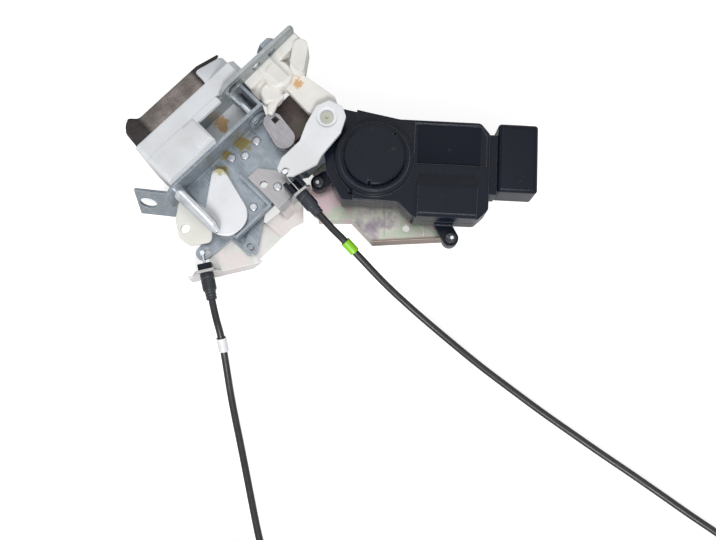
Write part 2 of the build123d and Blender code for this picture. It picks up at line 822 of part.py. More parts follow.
with BuildPart() as lock_arm:
    for end in (wire_eye, link_eye):
        with BuildSketch(level(lock_arm_level)):
            with Locations(lock_pivot):
                Circle(2 * lock_pin_radius)
            with Locations(end):
                Circle(3 * nipple_radius)
            make_hull()
        extrude(amount=plate)
    with BuildSketch(level(lock_arm_level + plate)):
        with Locations(link_eye):
            Circle(nipple_radius)
    extrude(amount=link_level - lock_arm_level)
    with BuildSketch(level(lock_arm_level)):
        with Locations(lock_pivot):
            Circle(lock_pin_radius + turn_gap)
        with Locations(polar(wire_eye, nipple_radius, lock_cable_turn + 90)):
            SlotOverall(
                4.6 * nipple_radius, 2 * nipple_radius + move_gap, rotation=lock_cable_turn + 90
            )
    extrude(amount=plate, mode=Mode.SUBTRACT)
finish(lock_arm, "lock_arm")

with BuildPart() as lock_shaft:
    with BuildSketch(level(bracket_level + wall)):
        with Locations(lock_pivot):
            Circle(lock_pin_radius)
    extrude(amount=lock_level + lock_thickness - 2 * small_round - bracket_level - wall)
    with BuildSketch(level(bracket_level + wall)):
        with Locations(lock_pivot):
            Circle(1.5 * lock_pin_radius)
    extrude(amount=lock_arm_level - move_gap - sheet - bracket_level - wall)
finish(lock_shaft, "lock_shaft")

# Outside lever: a translucent plate with the eye for the outside handle's rod
outside_shares = [
    (0.21, 0.28), (-0.24, 0.46), (-0.71, 0.14), (-1.0, -0.29), (-0.95, -0.64),
    (-0.38, -1.0), (-0.05, -0.68), (0.29, -0.2),
]
outside_length = 21.0
outside_width = 23.0
with BuildPart() as outside_lever:
    with BuildSketch(level(outside_level)) as outside_sketch:
        with BuildLine():
            Polyline(*spread(outside_shares, outside_length, outside_width, outside_pivot), close=True)
        make_face()
        fillet(outside_sketch.vertices(), 2 * bend_radius)
        with Locations(outside_pivot):
            Circle(inside_pin_radius + turn_gap, mode=Mode.SUBTRACT)
        with Locations(rod_hole):
            Circle(rod_hole_radius, mode=Mode.SUBTRACT)
    extrude(amount=outside_thickness)
finish(outside_lever, "outside_lever")

with BuildPart() as outside_pin:
    with BuildSketch(level(outside_level - move_gap / 2)):
        with Locations(outside_pivot):
            Circle(inside_pin_radius)
    extrude(amount=sub_top - outside_level + move_gap / 2)
    with BuildSketch(level(outside_level - move_gap / 2)):
        with Locations(outside_pivot):
            Circle(1.5 * inside_pin_radius)
    extrude(amount=-sheet)
finish(outside_pin, "outside_pin")


# Cable planes: each faces along its cable, from the middle of the lever's eye
def cable_plane(eye, height, turn):
    """Upright plane across a cable, whose Z runs along the cable away from the lever."""
    aim = (math.cos(math.radians(turn)), math.sin(math.radians(turn)), 0)
    return Plane(origin=(eye[0], eye[1], height - seat_height), x_dir=(-aim[1], aim[0], 0), z_dir=aim)


lock_cable = cable_plane(wire_eye, lock_cable_height, lock_cable_turn)
inside_cable = cable_plane(cable_eye, inside_cable_height, inside_cable_turn)
inside_flange = inside_clip_start + inside_clip_length
neck_radius_clip = 3.0

# Cable bracket: raised pad, slope, lower plate and the two flanges that hold the cables
pad_shares = [(0, 0), (0.47, 0), (0.95, 0.43), (1, 0.75), (0.86, 1), (0, 1)]
lower_shares = [
    (-0.93, 0.0), (-0.77, -0.08), (-0.44, 0.03), (-0.355, 0.56), (0.04, 0.62), (0.0, 0.81),
    (-0.10, 1.0), (-0.21, 0.93), (-0.71, 0.93), (-0.765, 0.84), (-1.0, 0.56),
]
lower_length = 68.0
lower_width = 37.0
lower_origin_y = -49.0
lower_level = lock_arm_level - move_gap - sheet
with BuildPart() as cable_bracket:
    with BuildSketch(level(sub_top)):
        with BuildLine():
            Polyline(*spread(pad_shares, pad_width, -pad_depth, pad_corner), close=True)
        make_face()
    extrude(amount=sheet)
    with BuildSketch(Plane.YZ.offset(pad_corner[0])):
        with BuildLine():
            pad_end = pad_corner[1] - pad_depth
            foot_end = pad_end - pad_depth / 4
            Polyline(
                (pad_end, sub_top + sheet - seat_height), (pad_end + sheet, sub_top - seat_height),
                (foot_end + sheet, lower_level - seat_height), (foot_end, lower_level - seat_height),
                (foot_end, lower_level + sheet - seat_height), close=True,
            )
        make_face()
    extrude(amount=0.86 * pad_width)
    with BuildSketch(level(lower_level)) as lower_sketch:
        with BuildLine():
            Polyline(*spread(lower_shares, lower_length, -lower_width, (0, lower_origin_y)), close=True)
        make_face()
        fillet(lower_sketch.vertices(), small_round)
        with Locations(lock_pivot):
            Circle(lock_pin_radius, mode=Mode.SUBTRACT)
    extrude(amount=sheet)
    with BuildSketch(lock_cable.offset(flange_step)):
        with BuildLine():
            Polyline(
                (1.4 * lower_width * 0.68, -lock_cable_height + lower_level + sheet),
                (-conduit * 2.8, -lock_cable_height + lower_level + sheet),
                (-conduit * 2.8, -lock_cable_height + conduit), (1.1 * lower_width * 0.68, -lock_cable_height + conduit),
                close=True,
            )
        make_face()
        with BuildLine():
            Polyline(
                (2 * conduit, -lock_cable_height + lower_level), (2 * conduit, -conduit / 2),
                (1.2 * conduit, 1.4 * conduit), (-1.2 * conduit, 1.4 * conduit),
                (-2 * conduit, -conduit / 2), (-2 * conduit, -lock_cable_height + lower_level), close=True,
            )
        make_face()
        Circle(neck_radius_clip, mode=Mode.SUBTRACT)
    extrude(amount=sheet)
    with BuildSketch(inside_cable.offset(inside_flange)):
        with BuildLine():
            Polyline(
                (1.7 * conduit, -2.6 * conduit), (1.7 * conduit, 0), (conduit, 1.15 * conduit),
                (-conduit, 1.15 * conduit), (-1.7 * conduit, 0), (-1.7 * conduit, -2.6 * conduit), close=True,
            )
        make_face()
        Circle(neck_radius_clip, mode=Mode.SUBTRACT)
    extrude(amount=sheet)
    with BuildSketch(level(sub_top)):
        with Locations(pad_hole):
            Circle(pad_hole_radius)
        with Locations(*pad_rivets):
            Circle(rivet_radius)
    extrude(amount=sheet, mode=Mode.SUBTRACT)
finish(cable_bracket, "cable_bracket")

pad_rivet = riveted(pad_rivets, sub_level, sub_top + sheet)
finish(pad_rivet, "pad_rivet")


# Cable ends at the latch
def cable_wire(plane, length, eye_low, eye_high):
    """Inner wire with the upright nipple that its lever carries."""
    with BuildPart() as wire:
        with BuildSketch(plane):
            Circle(wire_radius)
        extrude(amount=length)
        with BuildSketch(Plane(origin=(plane.origin.X, plane.origin.Y, eye_low - seat_height))):
            Circle(nipple_radius)
        extrude(amount=eye_high - eye_low)
    return wire


def cable_ferrule(plane, start):
    """Moulded end of the conduit, with the neck that passes through its flange."""
    with BuildPart() as ferrule:
        with BuildSketch(plane.offset(start)):
            Circle(neck_radius_clip)
        extrude(amount=sheet)
        with BuildSketch(plane.offset(start + sheet)):
            Circle(ferrule_radius)
        extrude(amount=0.7 * ferrule_length)
        with BuildSketch(plane.offset(start + sheet + 0.7 * ferrule_length)):
            Circle(0.8 * ferrule_radius)
        extrude(amount=0.3 * ferrule_length)
        with BuildSketch(plane.offset(start)):
            Circle(wire_radius + move_gap)
        extrude(amount=ferrule_length + sheet, mode=Mode.SUBTRACT)
    return ferrule


lock_cable_wire = cable_wire(lock_cable, flange_step + wire_tail, lock_arm_level, lock_cable_height + wire_radius)
finish(lock_cable_wire, "lock_cable_wire")
inside_cable_wire = cable_wire(
    inside_cable, inside_flange + wire_tail, inside_cable_height - wire_radius, inside_level + lever_thickness
)
finish(inside_cable_wire, "inside_cable_wire")

with BuildPart() as lock_cable_clip:
    with BuildSketch(lock_cable.offset(flange_step - clip_length / 2)):
        RectangleRounded(2 * ferrule_radius, 1.7 * ferrule_radius, small_round)
        Circle(wire_radius + move_gap, mode=Mode.SUBTRACT)
    extrude(amount=clip_length / 2)
finish(lock_cable_clip, "lock_cable_clip")

with BuildPart() as inside_cable_clip:
    with BuildSketch(inside_cable.offset(inside_clip_start)):
        with Locations((0, 0.15 * ferrule_radius)):
            Rectangle(2.6 * ferrule_radius, 2.3 * ferrule_radius)
        with Locations((0, ferrule_radius)):
            Rectangle(4 * nipple_radius, 2 * ferrule_radius + 4 * nipple_radius, mode=Mode.SUBTRACT)
    extrude(amount=inside_clip_length)
finish(inside_cable_clip, "inside_cable_clip")

lock_cable_ferrule = cable_ferrule(lock_cable, flange_step)
finish(lock_cable_ferrule, "lock_cable_ferrule")
inside_cable_ferrule = cable_ferrule(inside_cable, inside_flange)
finish(inside_cable_ferrule, "inside_cable_ferrule")


# Cable routes from the ferrules: hand-picked points, in millimetres
lock_route = [
    (-92.6, -99.6, -2.6), (-98.0, -107.0, -7.5), (-105.8, -117.3, -12.5), (-114.5, -128.7, -17),
    (-123.1, -141.2, -20), (-132.3, -155.7, -21.5), (-142.4, -171.6, -21.7), (-152.8, -187.9, -21.7),
    (-163.0, -204.0, -21.7), (-168.6, -214.3, -21.7),
]
inside_route = [
    (1.3, -114.1, 11), (1.2, -123.8, 7.5), (1.4, -135.9, 2), (1.8, -150.0, -5), (3.1, -165.2, -12),
    (4.8, -183.7, -17.5), (6.9, -205.3, -20.8), (9.2, -229.8, -21.6), (12.4, -253.2, -21.7),
    (15.6, -276.3, -21.7), (19.4, -298.6, -21.7), (23.2, -320.7, -21.7), (27.3, -342.3, -21.7),
    (31.1, -364.0, -21.7), (34.7, -385.6, -21.7), (38.8, -406.6, -21.7), (41.2, -420.8, -21.7),
]


def conduit_radii(points):
    """Largest tangent radius at each inner point of a route."""
    radii = []
    for before, here, after in zip(points, points[1:], points[2:]):
        run_in, run_out = Vector(*here) - Vector(*before), Vector(*after) - Vector(*here)
        half_turn = math.radians(run_in.get_angle(run_out)) / 2
        radii.append(0.45 * min(run_in.length, run_out.length) / math.tan(half_turn))
    return radii


def cable_conduit(plane, start, route):
    """Conduit from the ferrule's face to the end of its route."""
    exit_face = plane.offset(start + sheet + ferrule_length).origin
    lead = exit_face + plane.z_dir * cable_lead
    points = [tuple(exit_face), tuple(lead), *route]
    radii = conduit_radii(points)
    print("conduit radii", [round(radius) for radius in radii])
    with BuildPart() as tube:
        with BuildLine():
            FilletPolyline(*points, radius=radii)
        with BuildSketch(Plane(origin=exit_face, z_dir=plane.z_dir)):
            Circle(conduit / 2)
        sweep()
    return tube


def cable_coil(route, side, exit_angle):
    """Outer shape of the coil that holds the rest of a cable, with its two straight ends."""
    end, before = Vector(*route[-1]), Vector(*route[-2])
    aim = (end - before).normalized()
    outer, inner = coil_radius + conduit / 2 + coil_ease, coil_radius - conduit / 2
    stub = math.sqrt(outer**2 - inner**2) + coil_ease
    meet = end + aim * stub
    centre = meet + Vector(-aim.Y, aim.X, 0) * side * coil_radius
    with BuildPart() as coil:
        with BuildSketch(Plane(origin=(centre.X, centre.Y, -seat_height))):
            Circle(coil_radius + conduit / 2 + coil_ease)
            Circle(coil_radius - conduit / 2 - coil_ease, mode=Mode.SUBTRACT)
        extrude(amount=2 * conduit + coil_ease)
        with BuildSketch(Plane(origin=end, z_dir=aim)):
            Circle(conduit / 2)
        extrude(amount=stub)
        out = polar((centre.X, centre.Y), coil_radius, exit_angle)
        out_aim = (-side * math.sin(math.radians(exit_angle)), side * math.cos(math.radians(exit_angle)), 0)
        out_plane = Plane(origin=(out[0], out[1], ferrule_radius + small_round / 4 - seat_height), z_dir=out_aim)
        with BuildSketch(out_plane):
            Circle(conduit / 2)
        extrude(amount=1.4 * stub)
    return coil, out_plane.offset(1.4 * stub)


def cable_far_end(plane):
    """Ferrule, bare wire and nipple at the far end of a cable."""
    with BuildPart() as far_end:
        with BuildSketch(plane):
            Circle(ferrule_radius)
        extrude(amount=end_ferrule_length)
        chamfer(far_end.edges().filter_by(GeomType.CIRCLE), small_round)
        with BuildSketch(plane.offset(end_ferrule_length)):
            Circle(wire_radius)
        extrude(amount=end_wire_length)
        with BuildSketch(plane.offset(end_ferrule_length + end_wire_length)):
            Circle(2 * nipple_radius)
        extrude(amount=2.5 * nipple_radius)
    return far_end


def cable_band(points, start):
    """Coloured marking sleeve round one run of a conduit."""
    along = (Vector(*points[1]) - Vector(*points[0])).normalized()
    base = Vector(*points[0]) + along * start
    with BuildPart() as band:
        with BuildSketch(Plane(origin=base, z_dir=along)):
            Circle(conduit / 2 + 2 * band_wall)
            Circle(conduit / 2 + band_wall, mode=Mode.SUBTRACT)
        extrude(amount=band_length)
    return band


finish(cable_conduit(lock_cable, flange_step, lock_route), "lock_cable_conduit")
finish(cable_conduit(inside_cable, inside_flange, inside_route), "inside_cable_conduit")
lock_coil, lock_tail = cable_coil(lock_route, -1, 200)
finish(lock_coil, "lock_cable_coil")
inside_coil, inside_tail = cable_coil(inside_route, -1, 250)
finish(inside_coil, "inside_cable_coil")
finish(cable_far_end(lock_tail), "lock_cable_end")
finish(cable_far_end(inside_tail), "inside_cable_end")
finish(cable_band(lock_route[:2], lock_band_start), "lock_cable_band")
finish(cable_band(inside_route[:2], inside_band_start), "inside_cable_band")


# Actuator case: outline shared by base, seal and top, counted from the gear wheel
case_shares = [
    (-0.444, 0.115), (-0.333, 1.27), (-0.097, 1.154), (0.208, 1.0), (0.917, 1.0), (1.0, 0.73),
    (1.0, -1.15), (0.903, -1.42), (0.361, -1.42), (0.222, -1.06), (-0.264, -1.04), (-0.41, -0.385),
]
seal_height = 0.6
lug_shares = [(-0.482, -0.515), (0.704, -1.746)]
lug_places = spread(lug_shares, case_length, case_width)
wheel_mid = motor_axis_height
motor_plane = Plane(
    origin=actuator.from_local_coords(Vector(motor_start, motor_side, motor_axis_height)),
    x_dir=(0, 0, 1),
    z_dir=actuator.x_dir,
)


def move_inwards(points, distance):
    """Corners of a clockwise outline with every side moved inwards by one distance."""
    moved = []
    for before, here, after in zip(points[-1:] + points[:-1], points, points[1:] + points[:1]):
        run_in = (Vector(*here) - Vector(*before)).normalized()
        run_out = (Vector(*after) - Vector(*here)).normalized()
        middle = Vector(run_in.Y + run_out.Y, -run_in.X - run_out.X)
        corner = Vector(*here) + middle * (distance / (1 + run_in.dot(run_out)))
        moved.append((corner.X, corner.Y))
    return moved


def case_outline(inset=0.0):
    """Outline of the case, moved inwards by a wall."""
    corners = spread(case_shares, case_length, case_width)
    with BuildSketch(mode=Mode.PRIVATE) as outline:
        with BuildLine():
            Polyline(*move_inwards(corners, inset), close=True)
        make_face()
        fillet(outline.vertices(), 2 * bend_radius)
    return outline.sketch


with BuildPart() as actuator_base:
    with BuildSketch(case_level(case_foot)):
        add(case_outline())
    extrude(amount=case_split - seal_height - case_foot)
    for lug in lug_places:
        with BuildSketch(case_level(bracket_top)):
            with Locations(lug):
                Circle(lug_radius)
        extrude(amount=lug_top - bracket_top)
        with BuildSketch(case_level(case_foot)):
            with Locations(lug):
                Circle(lug_radius)
            with Locations((0.88 * lug[0], 0.78 * lug[1])):
                Circle(lug_radius)
            make_hull()
        extrude(amount=lug_top - case_foot)
    with BuildSketch(case_level(case_foot + case_wall)):
        add(case_outline(case_wall))
    extrude(amount=case_split - case_foot, mode=Mode.SUBTRACT)
    with BuildSketch(case_level(case_foot)):
        Circle(2 * wheel_bore_radius)
    extrude(amount=wheel_mid - wheel_thickness / 2 - move_gap - case_foot)
    with BuildSketch(case_level(case_foot)):
        Circle(wheel_bore_radius + turn_gap)
    extrude(amount=overrun, mode=Mode.SUBTRACT)
    for share in (0.2, 0.8):
        with BuildSketch(case_level(case_foot)):
            with Locations((motor_start + share * motor_length, motor_side)):
                Rectangle(case_wall, 1.6 * motor_radius)
        extrude(amount=case_split - case_foot - 2 * case_wall)
    with BuildSketch(motor_plane.offset(-move_gap)):
        Circle(motor_radius + move_gap)
    extrude(amount=motor_length + 2 * move_gap, mode=Mode.SUBTRACT)
    with BuildSketch(case_level(bracket_top)):
        with Locations(*lug_places):
            Circle(rivet_radius)
    extrude(amount=lug_top - bracket_top, mode=Mode.SUBTRACT)
finish(actuator_base, "actuator_base")

with BuildPart() as case_seal:
    with BuildSketch(case_level(case_split - seal_height)):
        add(case_outline(small_round))
        add(case_outline(case_wall), mode=Mode.SUBTRACT)
    extrude(amount=seal_height)
finish(case_seal, "case_seal")

bump_end = motor_start + motor_length + case_wall / 2
bump_start = motor_start - case_wall
panel_rim = 1.2
with BuildPart() as actuator_case:
    with BuildSketch(case_level(case_split)):
        add(case_outline())
    extrude(amount=extension_top - case_split)
    with BuildSketch(case_level(case_split)):
        add(case_outline())
        with Locations((-case_length / 2 - wheel_dome_radius / 2, 0)):
            Rectangle(case_length, 2 * case_length, mode=Mode.SUBTRACT)
    extrude(amount=case_deck - case_split)
    with BuildSketch(case_level(case_split)):
        Circle(wheel_dome_radius)
    extrude(amount=dome_height - case_split)
    fillet(actuator_case.faces().sort_by(Axis.Z)[-1].edges(), small_round)
    with BuildSketch(case_level(dome_height)):
        Circle(cap_ring_radius)
        Circle(cap_radius + move_gap, mode=Mode.SUBTRACT)
    extrude(amount=small_round * 2)
    with BuildSketch(case_level(case_deck)):
        with BuildLine():
            Polyline(
                (wheel_dome_radius, case_width - bend_radius), (case_length - 3 * bend_radius, case_width - bend_radius),
                (case_length - bend_radius, case_width - 4 * bend_radius), (case_length - bend_radius, -bend_radius),
                (wheel_dome_radius, -bend_radius), close=True,
            )
        make_face()
    extrude(amount=-panel_rim, mode=Mode.SUBTRACT)
    roof = [
        (-1.42 * case_width, case_split), (-1.42 * case_width, motor_top - bend_radius),
        (-1.34 * case_width, motor_top), (-0.68 * case_width, motor_top), (-0.34 * case_width, case_deck),
        (-0.34 * case_width, case_split),
    ]
    with BuildSketch(
        Plane(origin=actuator.from_local_coords(Vector(bump_start, 0, 0)), x_dir=actuator.y_dir, z_dir=actuator.x_dir)
    ):
        with BuildLine():
            Polyline(*roof, close=True)
        make_face()
    extrude(amount=bump_end - bump_start)
    with BuildSketch(case_level(case_split)):
        add(case_outline(case_wall))
    extrude(amount=extension_top - case_split - case_wall, mode=Mode.SUBTRACT)
    with BuildSketch(case_level(case_split)):
        Circle(wheel_radius + move_gap + small_round)
    extrude(amount=wheel_mid + wheel_thickness / 2 + move_gap - case_split, mode=Mode.SUBTRACT)
    with BuildSketch(case_level(case_split)):
        Circle(wheel_bore_radius + turn_gap)
    extrude(amount=dome_height - case_wall - case_split, mode=Mode.SUBTRACT)
    with BuildSketch(motor_plane.offset(-move_gap)):
        Circle(motor_radius + move_gap)
    extrude(amount=motor_length + 2 * move_gap, mode=Mode.SUBTRACT)
    with BuildSketch(motor_plane.offset(-motor_start - worm_length / 2 - move_gap)):
        Circle(worm_radius + small_round + move_gap)
    extrude(amount=motor_start + worm_length / 2, mode=Mode.SUBTRACT)
finish(actuator_case, "actuator_case")

with BuildPart() as gear_cap:
    with BuildSketch(case_level(dome_height)):
        Circle(cap_radius)
    extrude(amount=cap_top - dome_height)
    fillet(gear_cap.faces().sort_by(Axis.Z)[-1].edges(), 1.5 * small_round)
    for angle in (48, 262):
        with BuildSketch(case_level(dome_height)):
            with Locations(polar((0, 0), cap_radius, angle)):
                Rectangle(2 * bend_radius, bend_radius, rotation=angle)
        extrude(amount=cap_top - dome_height, mode=Mode.SUBTRACT)
finish(gear_cap, "gear_cap")

# Drive train inside the case
with BuildPart() as motor_can:
    with BuildSketch(motor_plane):
        Circle(motor_radius)
        Circle(wheel_bore_radius / 2 + turn_gap, mode=Mode.SUBTRACT)
    extrude(amount=motor_length)
    fillet(motor_can.edges().filter_by(GeomType.CIRCLE).group_by(SortBy.RADIUS)[-1], small_round)
finish(motor_can, "motor_can")

worm_threads = 7
with BuildPart() as motor_worm:
    with BuildSketch(motor_plane.offset(-motor_start - worm_length / 2)):
        Circle(wheel_bore_radius / 2)
    extrude(amount=motor_start + worm_length / 2 + motor_length - 2 * wall)
    with BuildSketch(motor_plane.offset(-motor_start - worm_length / 2)):
        Circle(worm_radius)
    extrude(amount=worm_length)
    pitch = worm_length / (worm_threads + 2)
    for thread in range(worm_threads):
        with BuildSketch(motor_plane.offset(-motor_start - worm_length / 2 + (thread + 1) * pitch)):
            Circle(worm_radius + small_round)
        extrude(amount=pitch / 2)
finish(motor_worm, "motor_worm")

wheel_teeth = 30
tooth_depth = 1.4
with BuildPart() as worm_wheel:
    with BuildSketch(case_level(wheel_mid - wheel_thickness / 2)):
        Circle(wheel_radius)
        with PolarLocations(wheel_radius, wheel_teeth):
            Rectangle(2 * tooth_depth, math.pi * wheel_radius / wheel_teeth, mode=Mode.SUBTRACT)
    extrude(amount=wheel_thickness)
    with BuildSketch(case_level(output_level)):
        Circle(wheel_bore_radius)
    extrude(amount=dome_height - case_wall - move_gap - output_level)
finish(worm_wheel, "worm_wheel")

output_pin = polar(wheel_centre, output_arm, output_start)
with BuildPart() as output_lever:
    with BuildSketch(level(output_level)):
        with Locations(wheel_centre):
            Circle(2 * wheel_bore_radius)
        with Locations(output_pin):
            Circle(2.4 * nipple_radius)
        make_hull()
        with Locations(wheel_centre):
            Circle(wheel_bore_radius, mode=Mode.SUBTRACT)
    extrude(amount=output_thickness)
    with BuildSketch(level(output_level)):
        with Locations(output_pin):
            Circle(nipple_radius)
    extrude(amount=-(output_level - bracket_top - move_gap / 2))
finish(output_lever, "output_lever")

# Lock link: a joggled strip between the output lever and the lock arm
link_row = 62.0
link_bend = 22.0
link_step = 14.0
link_end = 32.0
link_turns = [(-link_bend, -link_row), (link_step, -link_row), (link_end, -link_row)]
with BuildPart() as lock_link:
    with BuildSketch(level(link_level)):
        with BuildLine():
            Polyline(link_eye, *link_turns[:2])
        trace(line_width=link_width)
        with Locations(link_eye):
            Circle(0.6 * link_width)
        with Locations(link_eye):
            SlotOverall(4 * nipple_radius, 2 * nipple_radius + move_gap, rotation=90, mode=Mode.SUBTRACT)
    extrude(amount=sheet)
    with BuildSketch(Plane.XZ.offset(-link_turns[1][1] - link_width / 2)):
        with BuildLine():
            step_x = link_turns[1][0]
            step_low, step_high = link_drop_level - seat_height, link_level - seat_height
            Polyline(
                (step_x, step_high + sheet), (step_x - sheet, step_high), (step_x + 2 * sheet, step_low),
                (step_x + 4 * sheet, step_low), (step_x + 4 * sheet, step_low + sheet),
                (step_x + 3 * sheet, step_low + sheet), close=True,
            )
        make_face()
    extrude(amount=link_width)
    with BuildSketch(level(link_drop_level)):
        with BuildLine():
            Polyline((step_x + 3 * sheet, link_turns[1][1]), link_turns[2], output_pin)
        trace(line_width=link_width)
        with Locations(output_pin):
            Circle(0.7 * link_width)
        with Locations(output_pin):
            SlotOverall(5 * nipple_radius, 2 * nipple_radius + move_gap, rotation=90, mode=Mode.SUBTRACT)
    extrude(amount=sheet)
finish(lock_link, "lock_link")

# Connector: shroud on a neck, with its socket at the far end, and its blades
blade_rows = 2
blades = 4
socket_depth = 16.0
connector_middle = 4.0
with BuildPart() as connector_housing:
    with BuildSketch(case_level(case_foot + small_round)):
        with Locations(((case_length + connector_start) / 2, 0)):
            Rectangle(connector_start - case_length, 1.5 * case_width)
    extrude(amount=connector_height - 3 * wall)
    with BuildSketch(case_level(connector_foot)):
        with Locations((connector_start + connector_length / 2, connector_middle)):
            RectangleRounded(connector_length, connector_side, bend_radius)
    extrude(amount=connector_height)
    fillet(connector_housing.faces().sort_by(Axis.Z)[-1].edges(), 1.5 * bend_radius)
    with BuildSketch(
        Plane(
            origin=actuator.from_local_coords(
                Vector(connector_start + connector_length, connector_middle, connector_foot + connector_height / 2)
            ),
            x_dir=actuator.y_dir,
            z_dir=actuator.x_dir,
        )
    ):
        RectangleRounded(connector_side - 2 * wall, connector_height - 2 * wall, bend_radius)
    extrude(amount=-socket_depth, mode=Mode.SUBTRACT)
finish(connector_housing, "connector_housing")

with BuildPart() as connector_blades:
    with BuildSketch(
        Plane(
            origin=actuator.from_local_coords(
                Vector(
                    connector_start + connector_length - socket_depth, connector_middle,
                    connector_foot + connector_height / 2,
                )
            ),
            x_dir=actuator.y_dir,
            z_dir=actuator.x_dir,
        )
    ):
        with GridLocations(connector_side / 6, connector_height / 3, blades, blade_rows):
            Rectangle(2 * small_round, small_round)
    extrude(amount=0.6 * socket_depth)
finish(connector_blades, "connector_blades")

# Actuator bracket: from under the floor plate, down a slope, and under the case
carrier_right = 45.0
carrier_end = -46.0
slope_end = -54.0
carrier_outline_shares = [
    (-0.40, 0.42), (-0.05, 0.42), (0.08, 0.18), (0.14, -0.10), (0.34, -0.46), (0.19, -0.70),
    (0.04, -0.90), (-0.455, -0.445), (-0.445, -0.175), (-0.66, 0.03), (-0.66, 0.20), (-0.42, 0.28),
]
carrier_scale = 75.0
carrier_hole_shares = [(-0.18, -0.57067)]
foot_run_shares = [(-0.65, 0.03), (-0.445, -0.175), (-0.455, -0.445), (0.03, -0.885)]
with BuildPart() as actuator_bracket:
    with BuildSketch(level(sub_level - sheet)):
        with BuildLine():
            Polyline(
                (sub_right - 6 * sheet, back_y - plate), (carrier_right, back_y - plate),
                (carrier_right, carrier_end), (sub_right - 3 * sheet, carrier_end), close=True,
            )
        make_face()
    extrude(amount=sheet)
    with BuildSketch(Plane.YZ.offset(carrier_right)):
        with BuildLine():
            Polyline(
                (carrier_end, sub_level - seat_height), (carrier_end + sheet, sub_level - sheet - seat_height),
                (slope_end + sheet, bracket_level - seat_height), (slope_end - 6 * sheet, bracket_level - seat_height),
                (slope_end - 6 * sheet, bracket_top - seat_height), (slope_end, bracket_top - seat_height),
                close=True,
            )
        make_face()
    extrude(amount=-(carrier_right - sub_right + 2 * sheet))
    with BuildSketch(level(bracket_level)) as carrier_sketch:
        with BuildLine():
            Polyline(*spread(carrier_outline_shares, carrier_scale, carrier_scale, wheel_centre), close=True)
        make_face()
        fillet(carrier_sketch.vertices(), bend_radius)
        with Locations(*spread(carrier_hole_shares, carrier_scale, carrier_scale, wheel_centre)):
            Circle(pad_hole_radius, mode=Mode.SUBTRACT)
    extrude(amount=sheet)
    with BuildSketch(level(0)):
        with BuildLine():
            Polyline(*spread(foot_run_shares, carrier_scale, carrier_scale, wheel_centre))
        trace(line_width=sheet)
    extrude(amount=bracket_top)
    with BuildSketch(case_level(bracket_level)):
        with Locations(*lug_places):
            Circle(rivet_radius)
    extrude(amount=sheet, mode=Mode.SUBTRACT)
    with BuildSketch(level(sub_level - sheet)):
        with Locations(*carrier_rivets):
            Circle(rivet_radius)
    extrude(amount=sheet, mode=Mode.SUBTRACT)
finish(actuator_bracket, "actuator_bracket")

carrier_rivet = riveted(carrier_rivets, sub_level - sheet, sub_top)
finish(carrier_rivet, "carrier_rivet")

with BuildPart() as actuator_screws:
    with BuildSketch(case_level(bracket_level)):
        with Locations(*lug_places):
            Circle(rivet_radius)
    extrude(amount=lug_top - bracket_level)
    with BuildSketch(case_level(lug_top)):
        with Locations(*lug_places):
            Circle(screw_head_radius)
    extrude(amount=wall)
    fillet(actuator_screws.faces().group_by(Axis.Z)[-1].edges(), small_round)
finish(actuator_screws, "actuator_screws")
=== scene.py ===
"""Dressed scene of a vehicle door latch with its lock actuator and two pull cables."""

import json
import logging
import math
from collections.abc import Iterator, Sequence
from contextlib import contextmanager
from dataclasses import dataclass
from enum import Enum
from functools import cache

import bpy
from mathutils import Matrix, Vector

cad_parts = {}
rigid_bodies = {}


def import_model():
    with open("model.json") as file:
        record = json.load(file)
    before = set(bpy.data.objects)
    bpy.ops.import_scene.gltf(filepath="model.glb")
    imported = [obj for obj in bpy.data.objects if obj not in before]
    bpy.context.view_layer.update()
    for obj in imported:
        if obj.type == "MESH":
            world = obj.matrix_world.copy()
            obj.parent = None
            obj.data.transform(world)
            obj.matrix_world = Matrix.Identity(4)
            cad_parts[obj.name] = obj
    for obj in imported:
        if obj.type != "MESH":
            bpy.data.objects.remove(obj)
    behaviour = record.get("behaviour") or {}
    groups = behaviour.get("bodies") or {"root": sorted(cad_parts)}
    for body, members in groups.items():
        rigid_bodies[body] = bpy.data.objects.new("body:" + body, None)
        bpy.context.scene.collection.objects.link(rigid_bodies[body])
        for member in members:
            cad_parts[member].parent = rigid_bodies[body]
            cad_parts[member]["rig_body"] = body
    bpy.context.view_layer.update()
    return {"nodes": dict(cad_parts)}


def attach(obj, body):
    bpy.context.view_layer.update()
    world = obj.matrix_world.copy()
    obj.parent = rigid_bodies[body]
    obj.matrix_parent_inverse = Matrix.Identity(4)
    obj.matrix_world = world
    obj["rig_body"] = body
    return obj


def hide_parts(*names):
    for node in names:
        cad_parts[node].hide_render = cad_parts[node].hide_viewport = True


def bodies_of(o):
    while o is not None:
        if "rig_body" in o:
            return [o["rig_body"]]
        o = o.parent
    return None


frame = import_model()

Pair = tuple[float, float]
Triple = tuple[float, float, float]
Quad = tuple[float, float, float, float]
Socket = bpy.types.NodeSocket
MM = 0.001
MERGE_GAP = 0.000002
SLIVER = 0.00001
FLAT_ANGLE = math.radians(1.0)
UP = Vector((0.0, 0.0, 1.0))

log = logging.getLogger("latch")


def tone(*colour: float) -> Triple:
    """Turns a screen colour of 0 to 255 into the linear values that a shader takes."""
    parts = (part / 255 for part in colour)
    return tuple(part / 12.92 if part <= 0.04045 else ((part + 0.055) / 1.055) ** 2.4 for part in parts)


